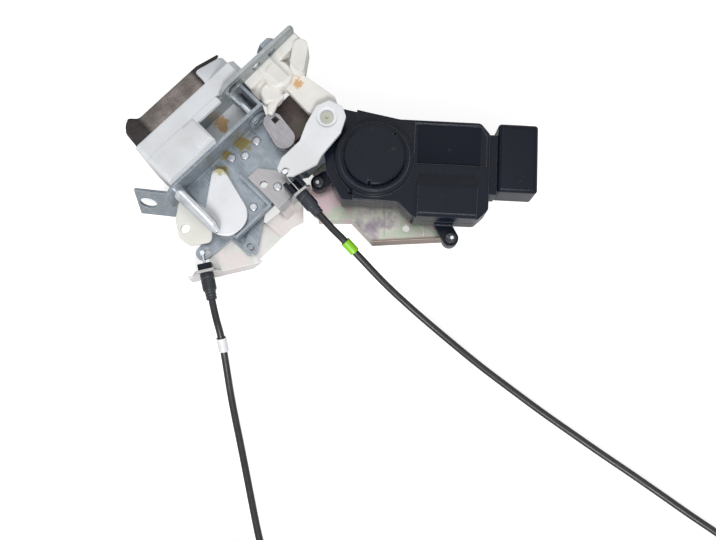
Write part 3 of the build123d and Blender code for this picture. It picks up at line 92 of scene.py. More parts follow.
class Recipe:
    """One material's node tree while it is being written. Colours are screen colours of 0 to 255."""

    def __init__(self, name: str, edge: float = 0.0003) -> None:
        """Starts a material.

        Args:
            name: The material's name.
            edge: Radius that edges seem to have, in metres.
        """
        self.material = bpy.data.materials.new(name)
        self.material.use_nodes = True
        self.tree = self.material.node_tree
        self.tree.nodes.clear()
        self.shader = self.add("ShaderNodeBsdfPrincipled")
        self.add("ShaderNodeOutputMaterial", {"Surface": self.shader.outputs["BSDF"]})
        self.place = self.add("ShaderNodeTexCoord").outputs["Object"]
        self.edge = edge

    def add(
        self, kind: str, feeds: dict[str | int, object] | None = None, **settings: object
    ) -> bpy.types.Node:
        """Adds a node.

        Args:
            kind: The node's type.
            feeds: What goes into its inputs, by their names or numbers.
            settings: Properties to set on it.

        Returns:
            The new node.
        """
        node = self.tree.nodes.new(kind)
        for name, value in settings.items():
            setattr(node, name, value)
        for socket, value in (feeds or {}).items():
            self.feed(node.inputs[socket], value)
        return node

    def feed(self, target: Socket, value: object) -> None:
        """Links a socket to an input, or writes a plain number or colour there.

        Args:
            target: The input.
            value: A socket, a number, or three or four numbers.
        """
        if isinstance(value, Socket):
            self.tree.links.new(value, target)
        elif isinstance(value, (int, float)):
            target.default_value = value
        elif len(target.default_value) == 4:
            target.default_value = (*value[:3], 1.0)
        else:
            target.default_value = value

    def scaled(self, scale: Triple, turn: float = 0.0) -> Socket:
        """Object coordinates stretched along the axes.

        Args:
            scale: Factor along each axis.
            turn: Angle about the vertical axis, in degrees.

        Returns:
            The vector socket.
        """
        angles = (0.0, 0.0, math.radians(turn))
        feeds = {"Vector": self.place, "Scale": scale, "Rotation": angles}
        return self.add("ShaderNodeMapping", feeds).outputs["Vector"]

    def noise(
        self, scale: float, detail: float = 4.0, rough: float = 0.55, place: Socket | None = None
    ) -> Socket:
        """Cloudy noise of so many clouds to a metre, on the object's coordinates if no others are given."""
        feeds = {"Vector": place or self.place, "Scale": scale, "Detail": detail, "Roughness": rough}
        return self.add("ShaderNodeTexNoise", feeds).outputs["Fac"]

    def cells(self, scale: float) -> Socket:
        """Distance within small cells, so many to a metre."""
        return self.add("ShaderNodeTexVoronoi", {"Vector": self.place, "Scale": scale}).outputs["Distance"]

    def spread(self, value: Socket, low: float, high: float, start: float = 0.0, end: float = 1.0) -> Socket:
        """Stretches the part of a value from low to high over start to end, and clamps it there."""
        feeds = {"Value": value, "From Min": low, "From Max": high, "To Min": start, "To Max": end}
        return self.add("ShaderNodeMapRange", feeds, interpolation_type="SMOOTHSTEP").outputs["Result"]

    def math(self, kind: str, first: object, second: object) -> Socket:
        """The result of an operation on two values."""
        return self.add("ShaderNodeMath", {0: first, 1: second}, operation=kind).outputs[0]

    def mix(self, share: object, *colours: Socket | Triple) -> Socket:
        """Blends two colours, with so much of the second."""
        first, second = (colour if isinstance(colour, Socket) else tone(*colour) for colour in colours)
        return self.add("ShaderNodeMix", {0: share, 6: first, 7: second}, data_type="RGBA").outputs[2]

    def bands(self, value: Socket, colours: Sequence[Triple]) -> Socket:
        """A run of colours over a value.

        Args:
            value: Where along the run, from 0 to 1.
            colours: The colours, evenly spaced.

        Returns:
            The colour.
        """
        node = self.add("ShaderNodeValToRGB", {"Fac": value})
        stops = node.color_ramp.elements
        while len(stops) < len(colours):
            stops.new(0.5)
        for count, colour in enumerate(colours):
            stops[count].position = count / (len(colours) - 1)
            stops[count].color = (*tone(*colour), 1.0)
        return node.outputs["Color"]

    def near(self, spots: Sequence[Quad], ragged: Socket) -> Socket:
        """A soft ragged patch round each spot.

        Args:
            spots: Place and radius of each, in millimetres.
            ragged: Noise that breaks up the outlines.

        Returns:
            The share covered.
        """
        total: object = 0.0
        for x, y, z, reach in spots:
            feeds = {0: self.place, 1: (x * MM, y * MM, z * MM)}
            far = self.add("ShaderNodeVectorMath", feeds, operation="DISTANCE").outputs["Value"]
            bent = self.math("MULTIPLY", far, self.spread(ragged, 0.3, 0.7, 0.75, 1.35))
            total = self.math("MAXIMUM", total, self.spread(bent, 0.55 * reach * MM, reach * MM, 1.0, 0.0))
        return total

    def away(self, direction: Vector, spot: Vector) -> Socket:
        """How far the surface lies from a spot of the bench plane along one direction.

        Args:
            direction: Unit direction in the bench plane.
            spot: The spot, in millimetres.

        Returns:
            The distance, in metres.
        """
        feeds = {0: self.place, 1: (direction.x, direction.y, 0.0)}
        run = self.add("ShaderNodeVectorMath", feeds, operation="DOT_PRODUCT").outputs["Value"]
        return self.math("ABSOLUTE", self.math("SUBTRACT", run, direction.dot(spot) * MM), 0.0)

    def line(self, start: Pair, end: Pair, width: float) -> Socket:
        """A soft stripe from one point of the bench plane to another.

        Args:
            start: Its first end, in millimetres.
            end: Its last end.
            width: Half the stripe's width, in millimetres.

        Returns:
            The share covered.
        """
        first, last = Vector(start), Vector(end)
        along = (last - first).normalized()
        middle, reach = (first + last) / 2, (last - first).length / 2
        aside = self.away(Vector((-along.y, along.x)), middle)
        beyond = self.away(along, middle)
        return self.math(
            "MULTIPLY",
            self.spread(aside, 0.3 * width * MM, width * MM, 1.0, 0.0),
            self.spread(beyond, reach * MM, (reach + width) * MM, 1.0, 0.0),
        )

    def edge_nearness(self, radius: float) -> Socket:
        """How near the surface is to an edge.

        Args:
            radius: Reach of the edge, in metres.

        Returns:
            A share that is highest on the edges.
        """
        rounded = self.add("ShaderNodeBevel", {"Radius": radius}, samples=4).outputs["Normal"]
        true = self.add("ShaderNodeNewGeometry").outputs["Normal"]
        dot = self.add("ShaderNodeVectorMath", {0: rounded, 1: true}, operation="DOT_PRODUCT")
        return self.spread(dot.outputs["Value"], 0.99, 0.78)

    def relief(self, height: Socket, depth: float, strength: float) -> None:
        """Roughens the surface.

        Args:
            height: The height.
            depth: How deep it goes, in metres.
            strength: How strongly it shows.
        """
        soft = self.add("ShaderNodeBevel", {"Radius": self.edge}, samples=6).outputs["Normal"]
        feeds = {"Normal": soft, "Strength": strength, "Distance": depth, "Height": height}
        self.feed(self.shader.inputs["Normal"], self.add("ShaderNodeBump", feeds).outputs["Normal"])

    def dress(
        self, colour: object, roughness: object, metal: float = 0.0, specular: float = 0.5
    ) -> bpy.types.Material:
        """Sets the shader's main values and ends the recipe.

        Args:
            colour: Base colour, as a socket or linear values.
            roughness: Roughness.
            metal: How metallic it is.
            specular: Specular level.

        Returns:
            The finished material.
        """
        values = {"Base Color": colour, "Roughness": roughness, "Metallic": metal}
        values["Specular IOR Level"] = specular
        for name, value in values.items():
            self.feed(self.shader.inputs[name], value)
        return self.material


@dataclass(frozen=True)
class Plating:
    """Plated or bare steel: clouds of tone, a drawn grain, bright rubbed edges, brown stripes along lips, and
    patches that are greasy smears on most finishes and painted shade on the olive one.
    """

    name: str
    tones: tuple[Triple, ...]
    bare: Triple
    metal: float = 0.9
    gloss: Pair = (0.26, 0.46)
    clouds: float = 55.0
    grain: Triple = (900.0, 60.0, 900.0)
    fine: float = 1400.0
    stains: float = 24.0
    ragged: float = 350.0
    depth: float = 0.00004
    # Patches: greasy smears on most finishes; on the olive finish, painted shade.
    grease_and_shade: tuple[Quad, ...] = ()
    grease_and_shade_tone: Triple = (128, 112, 40)
    stain: Triple = (96, 84, 70)
    edge: float = 0.0003
    low: Triple | None = None
    step: Pair = (0.0, 1.0)
    lips: tuple[Quad, ...] = ()
    lip_tone: Triple = (112, 84, 74)
    lip_width: float = 2.4
    edge_reach: float = 0.0006

    def build(self) -> bpy.types.Material:
        """Writes the material.

        Returns:
            The material.
        """
        recipe = Recipe(self.name, self.edge)
        cloud = recipe.noise(self.clouds, 5.0, 0.6)
        colour = recipe.bands(recipe.spread(cloud, 0.3, 0.7), self.tones)
        if self.low:
            height = recipe.add("ShaderNodeSeparateXYZ", {0: recipe.place}).outputs["Z"]
            raised = recipe.spread(height, *self.step, 0.0, 0.8)
            colour = recipe.mix(raised, colour, self.low)
        grain = recipe.noise(1.0, 3.0, 0.6, recipe.scaled(self.grain))
        fine = recipe.noise(self.fine, 3.0)
        colour = recipe.mix(recipe.spread(grain, 0.4, 0.75, 0.0, 0.25), colour, self.bare)
        stained = recipe.spread(recipe.noise(self.stains, 6.0, 0.7), 0.58, 0.72, 0.0, 0.35)
        colour = recipe.mix(stained, colour, self.stain)
        # Lays a brown stripe along each listed lip line; it covers everything within its width, at any
        # height.
        for lip in self.lips:
            lip_share = recipe.math("MULTIPLY", recipe.line(lip[:2], lip[2:], self.lip_width), 0.8)
            colour = recipe.mix(lip_share, colour, self.lip_tone)
        edge = recipe.math("MULTIPLY", recipe.edge_nearness(self.edge_reach), recipe.spread(cloud, 0.25, 0.6, 0.35, 1.0))
        colour = recipe.mix(edge, colour, self.bare)
        rough = recipe.spread(recipe.math("ADD", cloud, grain), 0.7, 1.3, *self.gloss)
        # Mixes in the patches: greasy smears on most finishes, painted shade on the olive one.
        if self.grease_and_shade:
            grease_and_shade_share = recipe.near(self.grease_and_shade, recipe.noise(self.ragged, 3.0))
            colour = recipe.mix(recipe.math("MULTIPLY", grease_and_shade_share, 0.85), colour, self.grease_and_shade_tone)
            rough = recipe.math("MAXIMUM", rough, recipe.math("MULTIPLY", grease_and_shade_share, 0.5))
        recipe.relief(recipe.math("ADD", grain, recipe.math("MULTIPLY", fine, 0.5)), self.depth, 0.55)
        return recipe.dress(colour, rough, self.metal)


@dataclass(frozen=True)
class Moulding:
    """Moulded plastic: slight clouds of tone, a fine grain, lighter edges and scratches, dirt and greasy
    smears; on the black finish the lighter edges are partly scuffing and partly painted highlight.
    """

    name: str
    main: Triple
    second: Triple
    scuff_and_highlight: Triple
    gloss: Pair = (0.28, 0.42)
    clouds: float = 40.0
    grain: float = 1800.0
    depth: float = 0.00003
    scratch: Triple = (160.0, 2400.0, 900.0)
    scratch_turn: float = 38.0
    dirt_clouds: float = 70.0
    ragged: float = 420.0
    bleed: Triple = (0.004, 0.0035, 0.003)
    scuff_and_highlight_share: float = 0.35
    through: float = 0.0
    dirt: Triple = (120, 110, 90)
    soiled: float = 0.12
    grease_and_shade: tuple[Quad, ...] = ()
    grease_and_shade_tone: Triple = (150, 105, 40)
    edge: float = 0.0006
    shine: float = 0.5
    edge_reach: float = 0.0005

    def build(self) -> bpy.types.Material:
        """Writes the material.

        Returns:
            The material.
        """
        recipe = Recipe(self.name, self.edge)
        cloud = recipe.noise(self.clouds, 4.0)
        colour = recipe.mix(recipe.spread(cloud, 0.35, 0.7), self.main, self.second)
        dirty = recipe.spread(recipe.noise(self.dirt_clouds, 7.0, 0.68), 0.55, 0.75, 0.0, self.soiled)
        colour = recipe.mix(dirty, colour, self.dirt)
        scratches = recipe.noise(1.0, 2.0, 0.5, recipe.scaled(self.scratch, self.scratch_turn))
        # Edges and scratches are lightened: scuffing on most finishes, and on the black finish partly painted
        # highlight as well.
        edge_nearness = recipe.math("MAXIMUM", recipe.edge_nearness(self.edge_reach), recipe.spread(scratches, 0.68, 0.74, 0.0, 0.2))
        colour = recipe.mix(recipe.math("MULTIPLY", edge_nearness, self.scuff_and_highlight_share), colour, self.scuff_and_highlight)
        rough = recipe.spread(cloud, 0.3, 0.7, *self.gloss)
        if self.grease_and_shade:
            grease_and_shade_share = recipe.near(self.grease_and_shade, recipe.noise(self.ragged, 3.0))
            colour = recipe.mix(recipe.math("MULTIPLY", grease_and_shade_share, 0.8), colour, self.grease_and_shade_tone)
            slick = recipe.math("SUBTRACT", 1.0, recipe.math("MULTIPLY", grease_and_shade_share, 0.5))
            rough = recipe.math("MULTIPLY", rough, slick)
        recipe.relief(recipe.noise(self.grain, 3.0, 0.6), self.depth, 0.6)
        recipe.shader.inputs["Subsurface Weight"].default_value = self.through
        recipe.shader.inputs["Subsurface Radius"].default_value = self.bleed
        recipe.shader.inputs["Subsurface Scale"].default_value = 0.5
        return recipe.dress(colour, rough, 0.0, self.shine)


@dataclass(frozen=True)
class Foam:
    """Closed-cell foam: small open cells in a dull grey skin, near black along its edges, with painted shade
    darkening both ends.
    """

    name: str
    main: Triple
    cell: Triple
    rim: Triple
    size: float = 900.0
    clouds: float = 90.0
    lumps: float = 380.0
    edge_reach: float = 0.0026
    depth: float = 0.0004
    # Where along x the strip's two ends start and finish darkening, as painted shade.
    ends: tuple[Pair, ...] = ((-34.5, -38.5), (3.0, 7.0))

    def build(self) -> bpy.types.Material:
        """Writes the material.

        Returns:
            The material.
        """
        recipe = Recipe(self.name)
        cells = recipe.cells(self.size)
        cloud = recipe.noise(self.clouds, 5.0, 0.65)
        colour = recipe.mix(recipe.spread(cloud, 0.35, 0.65), self.main, self.cell)
        colour = recipe.mix(recipe.spread(cells, 0.15, 0.55, 0.6, 0.0), colour, self.cell)
        across = recipe.add("ShaderNodeSeparateXYZ", {0: recipe.place}).outputs["X"]
        # Painted shade: both ends of the strip, the left lobe above all, are darkened towards near black.
        for start, end in self.ends:
            end_shade = recipe.spread(across, start * MM, end * MM, 0.0, 0.85)
            colour = recipe.mix(end_shade, colour, self.rim)
        colour = recipe.mix(recipe.math("MULTIPLY", recipe.edge_nearness(self.edge_reach), 0.95), colour, self.rim)
        height = recipe.math("ADD", cells, recipe.noise(self.lumps, 4.0))
        recipe.relief(height, self.depth, 0.8)
        return recipe.dress(colour, recipe.spread(cloud, 0.3, 0.7, 0.8, 0.97), 0.0, 0.2)


@dataclass(frozen=True)
class Jacket:
    """Extruded cable jacket: near black, with a faint ripple of the strands under it."""

    name: str
    main: Triple
    dust: Triple
    gloss: Pair = (0.3, 0.45)
    specks: float = 160.0
    strands: float = 700.0
    depth: float = 0.00006

    def build(self) -> bpy.types.Material:
        """Writes the material.

        Returns:
            The material.
        """
        recipe = Recipe(self.name)
        dust = recipe.noise(self.specks, 6.0, 0.7)
        colour = recipe.mix(recipe.spread(dust, 0.45, 0.75, 0.0, 0.5), self.main, self.dust)
        recipe.relief(recipe.noise(self.strands, 2.0), self.depth, 0.5)
        return recipe.dress(colour, recipe.spread(dust, 0.3, 0.7, *self.gloss))


class Finish(Enum):
    """The finishes, each with the material slot of the record that it belongs to."""

    ZINC = "zinc_steel"
    PLATE = "zinc_steel/face"
    DARK = "dark_steel"
    CHROMATE = "chromate_steel"
    OLIVE = "chromate_steel/olive"
    SCREW = "pin_steel/screw"
    WASHER = "natural_plastic/washer"
    WARM = "white_plastic/warm"
    PEAR = "white_plastic/pear"
    RIVET = "pin_steel/rivet"
    GUIDE = "pin_steel/guide"
    SLEEVE = "black_plastic/sleeve"
    GRAINED = "black_plastic/grained"
    WHITE = "white_plastic"
    NATURAL = "natural_plastic"
    BLACK = "black_plastic"
    FOAM = "foam"
    RUBBER = "black_rubber"
    PIN = "pin_steel"
    SPRING = "spring_steel"
    JACKET = "cord_black"
    LIME = "lime_band"
    PALE = "white_band"
    GEAR = "gear_plastic"
    BLADE = "blade_metal"

    @property
    def slot(self) -> str:
        """Name of the record's slot, without the variant."""
        return self.value.partition("/")[0]


RECIPES: dict[Finish, Plating | Moulding | Foam | Jacket] = {
    Finish.ZINC: Plating(
        "zinc_plate", ((118, 127, 136), (142, 151, 160), (128, 137, 145), (156, 162, 168)),
        (206, 209, 213), metal=0.55,
        grease_and_shade=((0.5, -23.6, 5.0, 7.0), (-12.0, -22.0, 5.0, 5.0), (-22.0, -28.0, 5.0, 6.0)),
    ),
    Finish.PLATE: Plating(
        "face_plate", ((136, 144, 146), (160, 166, 168), (146, 154, 156), (176, 180, 182)),
        (214, 216, 218), metal=0.55,
    ),
    Finish.DARK: Plating(
        "mauve_steel", ((130, 128, 132), (154, 152, 156), (142, 139, 144)), (206, 206, 212),
        metal=0.7, gloss=(0.34, 0.52),
    ),
    Finish.CHROMATE: Plating(
        "chromate_plate",
        ((206, 202, 200), (210, 199, 199), (202, 206, 200), (216, 214, 212), (190, 184, 184)),
        (232, 230, 228), metal=0.45, gloss=(0.3, 0.48), clouds=30.0, stain=(128, 84, 78),
        low=(150, 148, 152), step=(0.0015, 0.0035),
    ),
    # Painted shade: the three large dark brown patches in this entry stand for shadow on the bracket under
    # the moulding's arm and the inside lever; they are not greasy smears.
    Finish.OLIVE: Plating(
        "olive_chromate",
        ((176, 172, 164), (194, 166, 176), (168, 182, 162), (190, 188, 180), (138, 128, 140)),
        (206, 204, 192), metal=0.6, gloss=(0.3, 0.46), clouds=36.0, stain=(84, 56, 50),
        grease_and_shade=((38.2, -21.5, -2.0, 26.0), (34.2, -38.9, -2.0, 28.0), (26.0, -30.0, 2.0, 24.0)),
        # A brown stripe along the bracket's bent-down foot flange.
        grease_and_shade_tone=(56, 38, 36), lips=((16.2, -125.4, 53.2, -159.0),),
    ),
    Finish.WHITE: Moulding(
        "white_moulding", (224, 227, 231), (213, 214, 216), (238, 240, 243), through=0.06,
        grease_and_shade=((0.2, -5.5, 10.0, 5.4), (-1.5, -9.0, 10.0, 4.2)), grease_and_shade_tone=(198, 150, 72),
    ),
    Finish.WARM: Moulding(
        "warm_moulding", (240, 238, 233), (229, 226, 220), (246, 245, 241), through=0.08,
        grease_and_shade=((51.6, -22.1, 14.0, 4.6), (50.2, -24.2, 20.0, 4.6), (48.7, -26.3, 26.0, 4.6)),
        grease_and_shade_tone=(204, 148, 40),
    ),
    Finish.PEAR: Moulding(
        "pear_moulding", (238, 240, 244), (226, 227, 228), (246, 246, 248), through=0.1,
        grease_and_shade=((-21.5, -27.0, 9.0, 6.0),), grease_and_shade_tone=(176, 164, 92),
    ),
    Finish.NATURAL: Moulding(
        "natural_moulding", (236, 235, 228), (228, 226, 216), (244, 243, 238), through=0.15,
    ),
    Finish.RIVET: Plating(
        "rivet_steel", ((150, 154, 160), (184, 188, 194), (166, 170, 176)), (226, 228, 232),
        metal=0.75, gloss=(0.2, 0.34), edge=0.0016,
    ),
    Finish.SLEEVE: Moulding(
        "sleeve_moulding", (26, 30, 37), (36, 40, 48), (110, 114, 124), gloss=(0.3, 0.42),
        scuff_and_highlight_share=0.45, dirt=(64, 66, 72), soiled=0.3, shine=0.45, edge_reach=0.0008,
    ),
    Finish.GRAINED: Moulding(
        "grained_moulding", (10, 16, 27), (15, 20, 33), (60, 64, 78), gloss=(0.4, 0.52),
        grain=1100.0, depth=0.00008, scuff_and_highlight_share=0.25, dirt=(30, 32, 40), soiled=0.2, shine=0.12,
    ),
    Finish.WASHER: Moulding("washer_moulding", (196, 197, 184), (178, 181, 168), (214, 214, 206), soiled=0.3),
    # Partly painted highlight: the strong pale edge tone lightens every edge of the black case, clips and end
    # fittings as if they caught the light, and partly stands for scuffed edges.
    Finish.BLACK: Moulding(
        "black_moulding", (10, 17, 29), (15, 22, 35), (122, 126, 140), gloss=(0.18, 0.28),
        scuff_and_highlight_share=0.65, dirt=(38, 42, 52), soiled=0.2, edge=0.0016, shine=0.16, edge_reach=0.0009,
    ),
    Finish.SCREW: Plating(
        "black_screw", ((30, 32, 38), (52, 54, 60)), (150, 152, 158), metal=0.7, gloss=(0.25, 0.4),
    ),
    Finish.FOAM: Foam("foam_skin", (152, 143, 139), (112, 105, 100), (26, 25, 27)),
    Finish.RUBBER: Moulding(
        "rubber_skin", (24, 24, 25), (32, 32, 33), (60, 60, 60), gloss=(0.6, 0.75), scuff_and_highlight_share=0.2, shine=0.25,
    ),
    Finish.PIN: Plating(
        "turned_steel", ((168, 172, 180), (198, 202, 208), (182, 186, 192)),
        (236, 238, 242), gloss=(0.18, 0.34),
    ),
    Finish.GUIDE: Plating(
        "guide_steel", ((176, 180, 186), (206, 209, 214), (190, 193, 199)), (238, 240, 244),
        metal=1.0, gloss=(0.1, 0.2),
    ),
    Finish.SPRING: Plating(
        "drawn_wire", ((120, 122, 126), (150, 152, 156)), (200, 202, 206), gloss=(0.25, 0.4),
    ),
    Finish.JACKET: Jacket("cable_jacket", (12, 13, 17), (50, 52, 56)),
    Finish.LIME: Moulding(
        "lime_sleeve", (140, 208, 18), (118, 188, 12), (190, 232, 80), soiled=0.25, scuff_and_highlight_share=0.3,
    ),
    Finish.PALE: Moulding("pale_sleeve", (228, 230, 233), (214, 216, 219), (240, 240, 241), soiled=0.25),
    Finish.GEAR: Moulding("gear_moulding", (220, 216, 200), (208, 204, 186), (234, 232, 220)),
    Finish.BLADE: Plating(
        "tinned_brass", ((196, 186, 140), (210, 202, 166)), (234, 230, 208), gloss=(0.2, 0.32),
    ),
}


@cache
def paint(finish: Finish) -> bpy.types.Material:
    """Gives a finish's material, which is built once."""
    return RECIPES[finish].build()


def only(piece: bpy.types.Object) -> None:
    """Selects one object and nothing else.

    Args:
        piece: The object.
    """
    if bpy.context.object and bpy.context.object.mode != "OBJECT":
        bpy.ops.object.mode_set(mode="OBJECT")
    bpy.ops.object.select_all(action="DESELECT")
    piece.select_set(True)
    bpy.context.view_layer.objects.active = piece


@contextmanager
def editing(piece: bpy.types.Object, everything: bool = True) -> Iterator[None]:
    """Edit mode on one object.

    Args:
        piece: The object.
        everything: Whether all of it starts selected.

    Yields:
        Nothing.
    """
    only(piece)
    bpy.ops.object.mode_set(mode="EDIT")
    bpy.ops.mesh.select_all(action="SELECT" if everything else "DESELECT")
    yield
    bpy.ops.object.mode_set(mode="OBJECT")


def modify(piece: bpy.types.Object, kind: str, **settings: object) -> None:
    """Adds a modifier and applies it.

    Args:
        piece: The object.
        kind: The modifier's type.
        settings: Properties to set on it.
    """
    only(piece)
    modifier = piece.modifiers.new(kind.lower(), kind)
    for name, value in settings.items():
        setattr(modifier, name, value)
    bpy.ops.object.modifier_apply(modifier=modifier.name)


def smooth(piece: bpy.types.Object, angle: float) -> None:
    """Shades a piece smooth, except across edges sharper than an angle in degrees."""
    only(piece)
    bpy.ops.object.shade_smooth_by_angle(angle=math.radians(angle))


def rounded(piece: bpy.types.Object, width: float, segments: int, angle: float) -> None:
    """Rounds the edges of a piece that are sharper than an angle in degrees."""
    limit = math.radians(angle)
    modify(piece, "BEVEL", width=width, segments=segments, limit_method="ANGLE", angle_limit=limit)


def coat(piece: bpy.types.Object, finish: Finish) -> None:
    """Gives a new piece its only material.

    Args:
        piece: The piece.
        finish: Its finish.
    """
    piece.data.materials.clear()
    piece.data.materials.append(paint(finish))


def body_of(node: str) -> str:
    """Name of the body that a CAD node rides on."""
    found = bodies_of(frame["nodes"][node])
    return found if isinstance(found, str) else found[0]


def held(name: str, data: bpy.types.ID) -> bpy.types.Object:
    """A new object of the scene that holds the data.

    Args:
        name: Its name.
        data: A mesh, a curve, a lamp or a camera.

    Returns:
        The object.
    """
    piece = bpy.data.objects.new(name, data)
    bpy.context.scene.collection.objects.link(piece)
    return piece


def copied(node: str, name: str) -> bpy.types.Object:
    """A merged copy of a CAD node's mesh.

    Args:
        node: The node.
        name: The new piece's name.

    Returns:
        The copy.
    """
    piece = held(name, frame["nodes"][node].data.copy())
    with editing(piece):
        bpy.ops.mesh.remove_doubles(threshold=MERGE_GAP)
    if piece.data.has_custom_normals:
        bpy.ops.mesh.customdata_custom_splitnormals_clear()
    return piece


def mounted(piece: bpy.types.Object, finish: Finish, node: str) -> None:
    """Dresses a small piece and lets it ride with the node that carries it.

    Args:
        piece: The piece.
        finish: Its finish.
        node: The node.
    """
    coat(piece, finish)
    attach(piece, body_of(node))
    log.info("%s: %d faces", piece.name, len(piece.data.polygons))


def standing_in(piece: bpy.types.Object, finish: Finish, node: str) -> None:
    """Dresses a piece that takes a node's place and rides as it does."""
    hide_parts(node)
    mounted(piece, finish, node)


def smoothed(node: str, finish: Finish, softening: float = 0.0) -> bpy.types.Object:
    """A CAD node's shape with its curved faces shaded smooth, which takes the node's place.

    Args:
        node: The node.
        finish: Its finish.
        softening: Radius given to its edges, in metres.

    Returns:
        The new piece.
    """
    piece = copied(node, f"{node}_finished")
    if softening:
        with editing(piece):
            bpy.ops.mesh.dissolve_limited(angle_limit=FLAT_ANGLE)
        rounded(piece, softening, 4, 50.0)
    smooth(piece, 28.0)
    modify(piece, "WEIGHTED_NORMAL", keep_sharp=True, weight=100)
    standing_in(piece, finish, node)
    return piece


def painted(node: str, finish: Finish) -> None:
    """Puts a finish on a CAD node that stays.

    Args:
        node: The node.
        finish: Its finish.
    """
    kept = frame["nodes"][node]
    if not kept.material_slots:
        kept.data.materials.append(paint(finish))
    for place in kept.material_slots:
        place.link = "OBJECT"
        place.material = paint(finish)
    log.info("%s painted", node)


def turned(
    name: str, profile: Sequence[Pair], start: Vector, along: Vector, sides: int = 32
) -> bpy.types.Object:
    """A solid of revolution, drawn out ring by ring from a disc.

    Args:
        name: The piece's name.
        profile: Distance from start and radius of each ring, in metres.
        start: Where distance is zero.
        along: Direction of the axis.
        sides: Faces round it.

    Returns:
        The piece.
    """
    bpy.ops.object.select_all(action="DESELECT")
    first, radius = profile[0]
    bpy.ops.mesh.primitive_circle_add(vertices=sides, radius=radius, fill_type="NGON", location=(0, 0, 0))
    piece = bpy.context.object
    piece.name = name
    with editing(piece):
        bpy.ops.transform.translate(value=(0, 0, first))
        height = first
        for reach, wide in profile[1:]:
            bpy.ops.mesh.extrude_region_move(TRANSFORM_OT_translate={"value": (0, 0, reach - height)})
            scale = wide / radius
            bpy.ops.transform.resize(value=(scale, scale, 1.0), center_override=(0, 0, reach))
            height, radius = reach, wide
        bpy.ops.mesh.select_all(action="SELECT")
        bpy.ops.mesh.normals_make_consistent(inside=False)
    piece.data.transform(Matrix.Translation(start) @ along.to_track_quat("Z", "Y").to_matrix().to_4x4())
    smooth(piece, 40.0)
    return piece


def repeated(pattern: bpy.types.Object, name: str, place: Vector) -> bpy.types.Object:
    """A copy of a small piece, with its own mesh, at a place.

    Args:
        pattern: The piece that is copied.
        name: The copy's name.
        place: Where it goes.

    Returns:
        The copy.
    """
    piece = held(name, pattern.data.copy())
    piece.data.transform(Matrix.Translation(place))
    return piece


def plate(
    name: str, outline: Sequence[Pair], low: float, high: float, rounding: float
) -> bpy.types.Object:
    """A flat piece: a disc whose corners are moved to an outline, drawn up and rounded at its edges.

    Args:
        name: The piece's name.
        outline: Its corners, in millimetres.
        low: Height of its underside, in millimetres.
        high: Height of its top, in millimetres.
        rounding: Radius of its edges, in metres.

    Returns:
        The piece.
    """
    bpy.ops.object.select_all(action="DESELECT")
    bpy.ops.mesh.primitive_circle_add(
        vertices=len(outline), radius=0.001, fill_type="NGON", location=(0, 0, 0), rotation=(0, 0, 0)
    )
    piece = bpy.context.object
    piece.name = name
    for count, (x, y) in enumerate(outline):
        with editing(piece, False):
            bpy.ops.mesh.select_mode(type="VERT")
        corner = piece.data.vertices[count]
        corner.select = True
        move = point(x, y, low) - corner.co
        bpy.ops.object.mode_set(mode="EDIT")
        bpy.ops.transform.translate(value=move)
        bpy.ops.object.mode_set(mode="OBJECT")
    with editing(piece):
        bpy.ops.mesh.extrude_region_move(TRANSFORM_OT_translate={"value": (0, 0, (high - low) * MM)})
        bpy.ops.mesh.select_all(action="SELECT")
        bpy.ops.mesh.normals_make_consistent(inside=False)
    rounded(piece, rounding, 4, 20.0)
    with editing(piece):
        bpy.ops.mesh.dissolve_degenerate(threshold=SLIVER)
    smooth(piece, 50.0)
    return piece


def point(x: float, y: float, z: float) -> Vector:
    """A place given in millimetres."""
    return Vector((x, y, z)) * MM


@dataclass(frozen=True)
class Bead:
    """A narrow ridge along the top of a sheet, where it was pressed. All sizes are in millimetres."""

    name: str
    line: Quad
    top: float
    half: float = 0.6
    root: float = 0.5
    rise: float = 0.4
    rounding: float = 0.3

    def build(self, finish: Finish, node: str) -> None:
        """Builds the ridge and sets it on the sheet.

        Args:
            finish: Its finish.
            node: The node that carries it.
        """
        start, end = Vector(self.line[:2]), Vector(self.line[2:])
        along = (end - start).normalized()
        side = Vector((-along.y, along.x)) * self.half
        outline = [tuple(corner) for corner in (start + side, start - side, end - side, end + side)]
        ridge = plate(self.name, outline, self.top - self.root, self.top + self.rise, self.rounding * MM)
        mounted(ridge, finish, node)


@dataclass(frozen=True)
class Lamp:
    """A soft round lamp: its place, its width in metres and its power in watts."""

    name: str
    place: Triple
    width: float
    power: float

    def hang(self, aim: Triple) -> None:
        """Hangs the lamp.

        Args:
            aim: What it points at.
        """
        light = bpy.data.lights.new(self.name, "AREA")
        light.shape = "DISK"
        light.size = self.width
        light.energy = self.power
        lamp = held(self.name, light)
        lamp.location = self.place
        lamp.rotation_euler = (Vector(aim) - Vector(self.place)).to_track_quat("-Z", "Y").to_euler()


